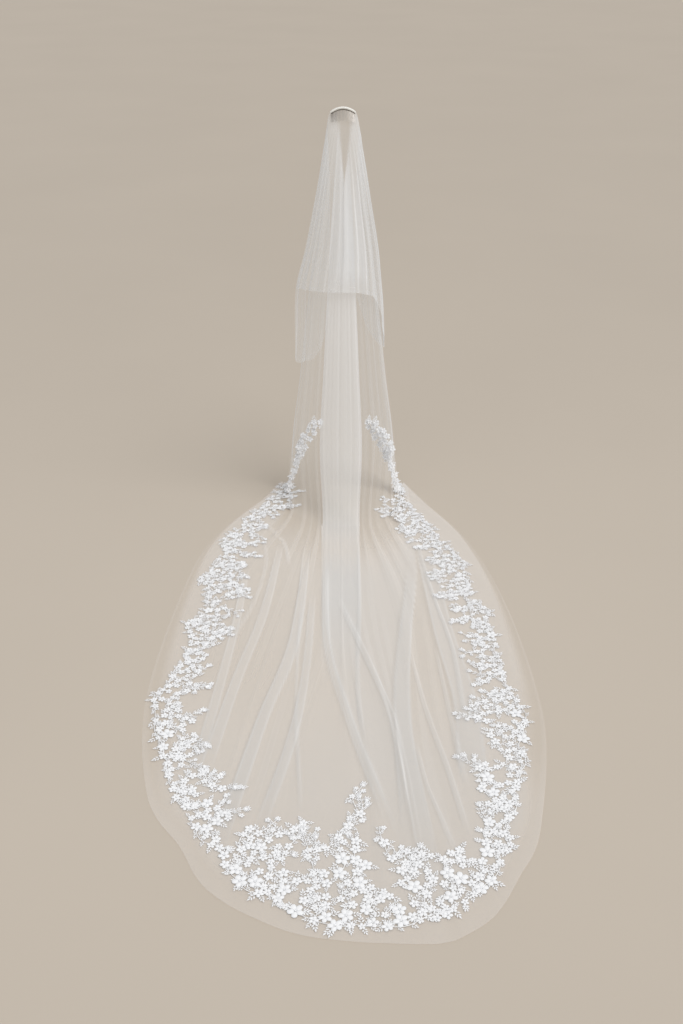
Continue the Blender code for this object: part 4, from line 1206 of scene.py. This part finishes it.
class HangingCloth:
    """A stretch of hanging cloth unrolled flat, whose lace stands off it and turns outwards."""

    def __init__(self, flat, points, normals, centres):
        self.points = points.reshape(-1, 3)
        self.normals = normals.reshape(-1, 3)
        self.flat = flat.reshape(-1, 2)
        self.cells = grid_cells(flat.shape[:2])
        vertices = [(x, y, 0.0) for x, y in self.flat]
        self.finder = BVHTree.FromPolygons(vertices, self.cells.tolist())
        self.centres = centres
        self.frames = [self.frame_at(x, y) for x, y in centres]

    def frame_at(self, x, y):
        """The spot on the cloth and three directions: along, up, and out from the lace."""
        index = self.finder.find_nearest((x, y, 0.0))[2]
        a, b, c = self.cells[index]
        ax, ay = self.flat[a]
        bx, by = self.flat[b] - self.flat[a]
        cx, cy = self.flat[c] - self.flat[a]
        area = bx * cy - cx * by
        low, high = -0.2, 1.2
        u = min(high, max(low, ((x - ax) * cy - cx * (y - ay)) / area))
        v = min(high, max(low, (bx * (y - ay) - (x - ax) * by) / area))
        spot = self.points[a] * (1 - u - v) + self.points[b] * u + self.points[c] * v
        out = 0.4 * self.normals[a] + np.array(END_TURN)
        out /= np.linalg.norm(out)
        up = np.array((0.0, 0.0, 1.0)) - out * out[2]
        up /= np.linalg.norm(up)
        return spot, np.cross(up, out), up, out

    def carry(self, spots, owners, lift):
        result = np.empty_like(spots)
        for k, (x, y, z) in enumerate(spots):
            spot, along, up, out = self.frames[owners[k]]
            dx, dy = self.centres[owners[k]]
            result[k] = spot + along * (x - dx) + up * (y - dy) + out * (2 * z + lift + END_STAND)
        result[:, 2] = np.maximum(result[:, 2], FLOOR + LACE_LOWEST)
        return result


class Garland:
    """Blossoms, leaves and stems that grow over a flat lay without crowding."""

    def __init__(self, random, leaf):
        self.random = random
        self.leaf_length = leaf
        self.marks = []
        self.lines = []
        self.discs = np.zeros((0, 3))
        self.room = ROOM

    def between(self, low, high):
        return low + (high - low) * self.random.random()

    def clear(self, x, y, radius, room):
        gaps = np.hypot(self.discs[:, 0] - x, self.discs[:, 1] - y)
        return bool((gaps > room * (self.discs[:, 2] + radius)).all())

    def blossom(self, x, y, radius, large):
        if not self.clear(x, y, radius, self.room):
            return False
        self.marks.append((x, y, self.between(0, 6.28), radius, 0 if large else 1))
        self.discs = np.vstack([self.discs, (x, y, radius)])
        return True

    def leaf(self, x, y, turn, length):
        tip = (x + 0.6 * length * math.cos(turn), y + 0.6 * length * math.sin(turn))
        if self.clear(*tip, 0.0, self.room - 0.10):
            self.marks.append((x, y, turn, length, 2))

    def leaf_beside(self, x, y, reach, turn, length):
        self.leaf(x + reach * math.cos(turn), y + reach * math.sin(turn), turn, length)

    def stem(self, start, end):
        """A bowed stem between two blossoms, with a leaf or two where it is bare."""
        (ax, ay), (bx, by) = start, end
        length = math.hypot(bx - ax, by - ay)
        bow = self.between(-0.22, 0.22)
        steps = max(3, int(length / STEM_STEP))
        path = []
        for i in range(steps + 1):
            t = i / steps
            out = bow * math.sin(math.pi * t)
            path.append((ax + (bx - ax) * t - (by - ay) * out, ay + (by - ay) * t + (bx - ax) * out))
        self.lines.append(path)
        heading = math.atan2(by - ay, bx - ax)
        for i in range(1, steps, 2):
            side = 1 if i % 4 == 1 else -1
            turn = heading + side * self.between(0.6, 1.0)
            self.leaf(*path[i], turn, self.leaf_length * self.between(0.7, 1.0))

    def twig(self, x, y, heading, length, blossom, level=0):
        """A curved stem with paired leaves, smaller twigs, and a blossom or bud at its tip."""
        count = max(2, int(length / TWIG_STEP))
        curl = self.between(-1.0, 1.0) * 0.9 / count
        path = [(x, y)]
        since = 0.0
        for i in range(1, count + 1):
            heading += curl + self.between(-0.06, 0.06)
            x += TWIG_STEP * math.cos(heading)
            y += TWIG_STEP * math.sin(heading)
            path.append((x, y))
            since += TWIG_STEP
            t = i / count
            if since > self.leaf_length * 0.52:
                since = 0.0
                size = self.leaf_length * (0.95 - 0.40 * t) * (0.80 if level else 1.0)
                for side in (1, -1):
                    if self.random.random() < 0.90:
                        turn = heading + side * self.between(0.55, 1.0)
                        self.leaf(x, y, turn, size * self.between(0.8, 1.15))
            if level == 0 and i in (int(count * 0.30), int(count * 0.58)) and length > 0.05:
                side = 1 if self.random.random() < 0.5 else -1
                reach = length * self.between(0.30, 0.50)
                self.twig(x, y, heading + side * self.between(0.6, 1.0), reach, blossom * 0.85, 1)
        self.lines.append(path)
        if self.random.random() < 0.68:
            self.blossom(x, y, blossom * self.between(0.75, 1.1), False)
        else:
            for turn in (-0.5, 0.0, 0.5):
                self.leaf(x, y, heading + turn, self.leaf_length * 0.8)
            self.marks.append((x, y, heading, self.between(0.0038, 0.0055), 3))


# How the border grows: the share of big blossoms from which a place counts as the
# front, small blossoms there and at the sides as shares of a large one, where the
# gaps between the clusters open, and how many more open inwards.
FRONT_BIG = 0.35
SIDE_BLOSSOM = 0.56
FRONT_BLOSSOM_GAIN = 0.14
CLUSTERS = {"seed": 31, "waves": 5, "longest": 0.17, "shortest": 0.07}
GAP_OPENS = -0.50
GAP_GROWS_INWARDS = 0.62
LONGEST_STEM = 0.11
TWIG_FROM = 0.66
INNER_TWIGS = 0.60
OTHER_TWIGS = 0.16


def grow_border(garland, place, low, high, settings, band):
    """Pack blossoms along one stretch of the hem with gaps between the clusters, tie
    each to its neighbour by a stem, and let twigs grow out of the inner edge."""
    grown = []
    stretch = (high - low) * place.length
    for _ in range(int(stretch * TRIES_PER_METRE)):
        along = garland.between(low, high)
        outer, inner, big = smooth_curve(band[:, 0], band[:, 1:], [along])[0]
        share = garland.random.random() ** 1.2
        front = min(1.0, big / FRONT_BIG)
        small = settings.blossom * (SIDE_BLOSSOM + FRONT_BLOSSOM_GAIN * front)
        garland.room = SIDE_ROOM - (SIDE_ROOM - ROOM) * front
        depth = outer + small + share * (inner - outer - small)
        cluster = ripples(along * place.length, depth, **CLUSTERS)
        if cluster < GAP_OPENS + GAP_GROWS_INWARDS * share * (0.5 + front):
            continue
        is_large = garland.random.random() < 0.75 * big * (1.3 - share)
        if is_large:
            radius = settings.blossom * garland.between(0.80, 1.10)
        else:
            radius = small * garland.between(0.70, 1.15)
        x, y, inward = place(along, depth)
        if garland.blossom(x, y, radius, is_large):
            grown.append((x, y, radius, share, inward, depth, small))
    spots = np.array([g[:2] for g in grown])
    depths = np.array([g[5] for g in grown])
    for x, y, radius, share, inward, depth, small in grown:
        nearer = np.flatnonzero(depths < depth - 0.002)
        if len(nearer):
            gaps = np.hypot(spots[nearer, 0] - x, spots[nearer, 1] - y)
            best = int(np.argmin(gaps))
            if gaps[best] < LONGEST_STEM:
                garland.stem(spots[nearer[best]], (x, y))
        for _ in range(2):
            turn = garland.between(0, 2 * math.pi)
            garland.leaf_beside(x, y, 0.75 * radius, turn, settings.leaf * garland.between(0.75, 1.2))
        if share > TWIG_FROM and garland.random.random() < INNER_TWIGS:
            turn = inward + garland.between(-0.9, 0.9)
            garland.twig(x, y, turn, garland.between(0.035, 0.085), small * 0.72)
        elif garland.random.random() < OTHER_TWIGS:
            turn = inward + garland.between(-1.5, 1.5)
            garland.twig(x, y, turn, garland.between(0.022, 0.045), small * 0.7)


def grow_end(garland, side, settings):
    """Pack small blossoms and leaves up one edge of the fall, bowed as the photo's lace is."""
    for _ in range(END_TRIES):
        up = garland.between(END_LOW, END_DROP)
        high = up / END_DROP
        inset = END_INSET * (1 - high)
        broad = END_BROAD[side] * math.exp(-((high - END_BROAD_AT) / END_BROAD_REACH) ** 2)
        x = -side * garland.between(END_BAND[0] + inset, END_BAND[1] + inset + broad)
        radius = settings.blossom * garland.between(0.50, 0.80)
        if garland.blossom(x, up, radius, False):
            for turn in (0.6, 3.7):
                garland.leaf_beside(x, up, 0.7 * radius, turn + garland.between(-0.9, 0.9), settings.leaf)
class HemPlace:
    """Finds a spot from the share along the hem and the depth inwards."""

    def __init__(self, hem):
        lengths = np.concatenate([[0], np.cumsum(np.linalg.norm(np.diff(hem, axis=0), axis=1))])
        self.length = lengths[-1]
        self.along = lengths / lengths[-1]
        self.hem = hem
        heading = np.gradient(hem, axis=0)
        heading /= np.linalg.norm(heading, axis=1, keepdims=True)
        for _ in range(60):
            heading[1:-1] = (heading[:-2] + heading[1:-1] + heading[2:]) / 3
        self.inward = np.stack([-heading[:, 1], heading[:, 0]], 1)

    def __call__(self, along, depth):
        x, y = (np.interp(along, self.along, self.hem[:, i]) for i in (0, 1))
        ix, iy = (np.interp(along, self.along, self.inward[:, i]) for i in (0, 1))
        return x + ix * depth, y + iy * depth, math.atan2(iy, ix)


def lace_piece(node, garland, cloth, shapes, tree, thread):
    """Run the lace tree on the marks and stems, lay the result on the cloth in place
    of the CAD node."""
    name = node.replace("lace", "applique")
    marks = np.array(garland.marks)
    points = bpy.data.meshes.new(name + "_marks")
    points.from_pydata([(x, y, 0.0) for x, y in marks[:, :2]], [], [])
    for label, kind, values in (
            ("turn", "FLOAT", marks[:, 2]), ("size", "FLOAT", marks[:, 3]),
            ("kind", "INT", marks[:, 4]), ("owner", "INT", np.arange(len(marks)))):
        data = points.attributes.new(label, kind, "POINT").data
        data.foreach_set("value", values.astype(np.float32 if kind == "FLOAT" else np.int32))
    holder = link(bpy.data.objects.new(name + "_marks", points))
    vertices, edges = [], []
    for path in garland.lines:
        first = len(vertices)
        vertices += [(x, y, STEM_HEIGHT) for x, y in path]
        edges += [(first + i, first + i + 1) for i in range(len(path) - 1)]
    stems = bpy.data.meshes.new(name + "_stems")
    stems.from_pydata(vertices, edges, [])
    stem_holder = link(bpy.data.objects.new(name + "_stems", stems))
    values = {**shapes, "Stems": stem_holder, "Cord radius": STEM_RADIUS, "Thread": thread}
    mesh = run_tree(holder, tree, values)
    bpy.data.objects.remove(holder)
    bpy.data.objects.remove(stem_holder)
    count = len(mesh.vertices)
    spots = np.empty(count * 3)
    mesh.vertices.foreach_get("co", spots)
    owners = np.zeros(count, np.int32)
    mesh.attributes["owner"].data.foreach_get("value", owners)
    moved = cloth.carry(spots.reshape(-1, 3), owners, LACE_LIFT)
    mesh.vertices.foreach_set("co", moved.reshape(-1))
    mesh.shade_smooth()
    mesh.update()
    mesh.name = name
    piece = add_piece(name, mesh, thread)
    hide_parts(node)
    return piece


def unroll_end(tier, side, centres):
    """The cloth at one edge of the fall, unrolled flat from its raw edge inwards."""
    rows = slice(tier.fall_rows.tolist().index(END_TOP_ROW), tier.fall_count)
    picked = slice(0, END_COLUMNS) if side < 0 else slice(len(tier.columns) - END_COLUMNS, None)
    lay = tier.base[rows, picked]
    order = lay if side < 0 else lay[:, ::-1]
    width = np.cumsum(np.linalg.norm(np.diff(order, axis=1), axis=2), axis=1)
    width = np.concatenate([np.zeros((len(width), 1)), width], 1)
    drop = np.linalg.norm(np.diff(order[:, 0], axis=0), axis=1)[::-1].cumsum()[::-1]
    drop = np.append(drop, 0.0)
    width = width if side < 0 else -width[:, ::-1]
    flat = np.stack([width, np.repeat(drop[:, None], width.shape[1], 1)], 2)
    return HangingCloth(flat, tier.points[rows, picked], -tier.normals[rows, picked], centres)
class VEIL_OT_tulle(bpy.types.Operator):
    """Lay the long tier and the short tier of sheer tulle over their solids"""

    bl_idname = "veil.tulle"
    bl_label = "Tulle tiers"

    def execute(self, context):
        settings = context.scene.veil_tulle
        tier = LongTier(settings)
        net = tulle_material(settings, "veil_net")
        long_sheet = add_piece("long_tier", grid_mesh("long_tier", tier.points, tier.layers), net)
        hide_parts("long_tier_fall", "long_tier_train")
        net = tulle_material(settings, "veil_net_short")
        points, layers = build_blusher_grid()
        short_sheet = add_piece("short_tier", grid_mesh("short_tier", points, layers), net)
        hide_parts("blusher")
        KEPT.update(tier=tier, long_sheet=long_sheet, short_sheet=short_sheet, short_points=points)
        return {"FINISHED"}


class VEIL_OT_lace(bpy.types.Operator):
    """Grow the floral lace along the hem and lay it on the cloth"""

    bl_idname = "veil.lace"
    bl_label = "Lace border"

    def execute(self, context):
        settings = context.scene.veil_lace
        tier = KEPT["tier"]
        random = np.random.default_rng(settings.seed)
        thread = lace_material(settings)
        tree = lace_tree()
        made = {
            "Large blossom": blossom_mesh("large_blossom", 8, 0.075, 0.75),
            "Small blossom": blossom_mesh("small_blossom", 6, 0.10, 0.65),
            "Leaf": leaf_mesh("leaf", 0.06),
            "Bud": bud_mesh("bud"),
        }
        cloth = LyingCloth(tier.points[tier.fall_count - 1 :])
        place = HemPlace(tier.base[-1, :, :2])
        band = np.array(LACE_BAND)
        for node, low, high in LACE_PARTS:
            garland = Garland(random, settings.leaf)
            grow_border(garland, place, low, high, settings, band)
            lace_piece(node, garland, cloth, made, tree, thread)
        for node, side in END_LACE:
            garland = Garland(random, settings.leaf)
            garland.room = END_ROOM
            grow_end(garland, side, settings)
            cloth = unroll_end(tier, side, np.array(garland.marks)[:, :2])
            lace_piece(node, garland, cloth, made, tree, thread)
        for item in made.values():
            bpy.data.objects.remove(item)
        declare_sheets()
        return {"FINISHED"}


def declare_sheets():
    """Work out the surface area of each tier's sheet; nothing uses it."""
    points = KEPT["tier"].points
    area = surface_area(points)
    area = surface_area(KEPT["short_points"])
class VEIL_OT_comb(bpy.types.Operator):
    """Finish the comb, and wind thread round its arch"""

    bl_idname = "veil.comb"
    bl_label = "Comb and binding"

    def execute(self, context):
        settings = context.scene.veil_comb
        thread = binding_material(settings)
        for node, finish in (("comb", comb_material(settings)), ("comb_binding", thread)):
            NODES[node].data.materials.clear()
            NODES[node].data.materials.append(finish)
        curve = bpy.data.curves.new("binding_wraps", "CURVE")
        curve.dimensions = "3D"
        curve.bevel_depth = BINDING_THREAD
        curve.bevel_resolution = 1
        curve.use_fill_caps = True
        spline = curve.splines.new("POLY")
        steps = settings.wraps * STEPS_PER_WRAP
        spline.points.add(steps)
        for k in range(steps + 1):
            t = k / steps
            x = COMB_HALF_WIDTH * (2 * t - 1)
            tilt = math.atan(-2 * COMB_RISE * x / COMB_HALF_WIDTH**2)
            angle = 2 * math.pi * settings.wraps * t
            radius = BINDING_RADIUS * (1.0 - BINDING_TAPER * (abs(x) / COMB_HALF_WIDTH) ** 8)
            out, up = radius * math.cos(angle), radius * math.sin(angle)
            height = arch_height(x) + up * math.cos(tilt)
            spline.points[k].co = (x - up * math.sin(tilt), out, height, 1)
        holder = link(bpy.data.objects.new("binding_wraps_path", curve))
        context.view_layer.update()
        mesh = bpy.data.meshes.new_from_object(holder.evaluated_get(context.evaluated_depsgraph_get()))
        bpy.data.objects.remove(holder)
        mesh.name = "binding_wraps"
        add_piece("binding_wraps", mesh, thread)
        return {"FINISHED"}


# The stage: half the floor's width and how far it lies under the veil, the lamps'
# directions, spreads and places, and the camera's place and pitch in degrees.
FLOOR_REACH = 30.0
FLOOR_BELOW = 0.0005
KEY_DIRECTION = (-0.52, 0.42, -0.75)
KEY_SPREAD = 40.0
OVERHEAD_SIZE = 2.4
OVERHEAD_PLACE = (0.1, -1.5, 1.5)
CAMERA_PLACE = (-0.0054, -4.153, 0.727)
CAMERA_PITCH = 60.0
# Light passes this many sheer layers before Blender gives up on it.
SHEER_LAYERS_SEEN = 24


class VEIL_OT_stage(bpy.types.Operator):
    """Set the floor, the soft light and the camera"""

    bl_idname = "veil.stage"
    bl_label = "Stage"

    def execute(self, context):
        scene = context.scene
        settings = scene.veil_stage
        mesh = bpy.data.meshes.new("floor")
        low = FLOOR - FLOOR_BELOW
        corners = [(x * FLOOR_REACH, y * FLOOR_REACH, low) for x, y in ((-1, -1), (1, -1), (1, 1), (-1, 1))]
        mesh.from_pydata(corners, [], [(0, 1, 2, 3)])
        mesh.materials.append(floor_material(settings))
        link(bpy.data.objects.new("floor", mesh))
        lamp = bpy.data.lights.new("key", "SUN")
        lamp.energy = settings.key
        lamp.angle = math.radians(KEY_SPREAD)
        key = link(bpy.data.objects.new("key", lamp))
        key.rotation_euler = Vector(KEY_DIRECTION).to_track_quat("-Z", "Y").to_euler()
        soft = bpy.data.lights.new("overhead", "AREA")
        soft.shape = "DISK"
        soft.size = OVERHEAD_SIZE
        soft.energy = settings.overhead
        link(bpy.data.objects.new("overhead", soft)).location = OVERHEAD_PLACE
        world = bpy.data.worlds.new("soft_room")
        world.use_nodes = True
        sky = world.node_tree.nodes["Background"]
        sky.inputs["Color"].default_value = (1.0, 1.0, 1.0, 1.0)
        sky.inputs["Strength"].default_value = settings.fill
        scene.world = world
        scene.view_settings.view_transform = "Standard"
        scene.cycles.transparent_max_bounces = SHEER_LAYERS_SEEN
        camera = bpy.data.cameras.new("camera")
        camera.lens = settings.lens
        camera.clip_end = 200.0
        view = link(bpy.data.objects.new("camera", camera))
        view.location = CAMERA_PLACE
        view.rotation_euler = (math.radians(CAMERA_PITCH), 0.0, 0.0)
        scene.camera = view
        return {"FINISHED"}
class VEIL_PT_panel(bpy.types.Panel):
    """The veil's pieces in the sidebar"""

    bl_idname = "VEIL_PT_panel"
    bl_label = "Bridal veil"
    bl_space_type = "VIEW_3D"
    bl_region_type = "UI"
    bl_category = "Veil"

    def draw(self, context):
        for operator in OPERATORS:
            self.layout.operator(operator.bl_idname)
        for group in GROUPS:
            box = self.layout.box()
            settings = getattr(context.scene, group)
            for name in settings.__annotations__:
                box.prop(settings, name)


KEPT = {}
GROUPS = {
    "veil_tulle": VeilTulleSettings,
    "veil_lace": VeilLaceSettings,
    "veil_comb": VeilCombSettings,
    "veil_stage": VeilStageSettings,
}
OPERATORS = (VEIL_OT_tulle, VEIL_OT_lace, VEIL_OT_comb, VEIL_OT_stage)


def register():
    for item in (*GROUPS.values(), *OPERATORS, VEIL_PT_panel):
        bpy.utils.register_class(item)
    for name, group in GROUPS.items():
        setattr(bpy.types.Scene, name, bpy.props.PointerProperty(type=group))


def unregister():
    for name in GROUPS:
        delattr(bpy.types.Scene, name)
    for item in (VEIL_PT_panel, *reversed(OPERATORS), *reversed(GROUPS.values())):
        bpy.utils.unregister_class(item)


def main():
    register()
    for operator in OPERATORS:
        family, name = operator.bl_idname.split(".")
        getattr(getattr(bpy.ops, family), name)()


if __name__ == "__main__":
    main()
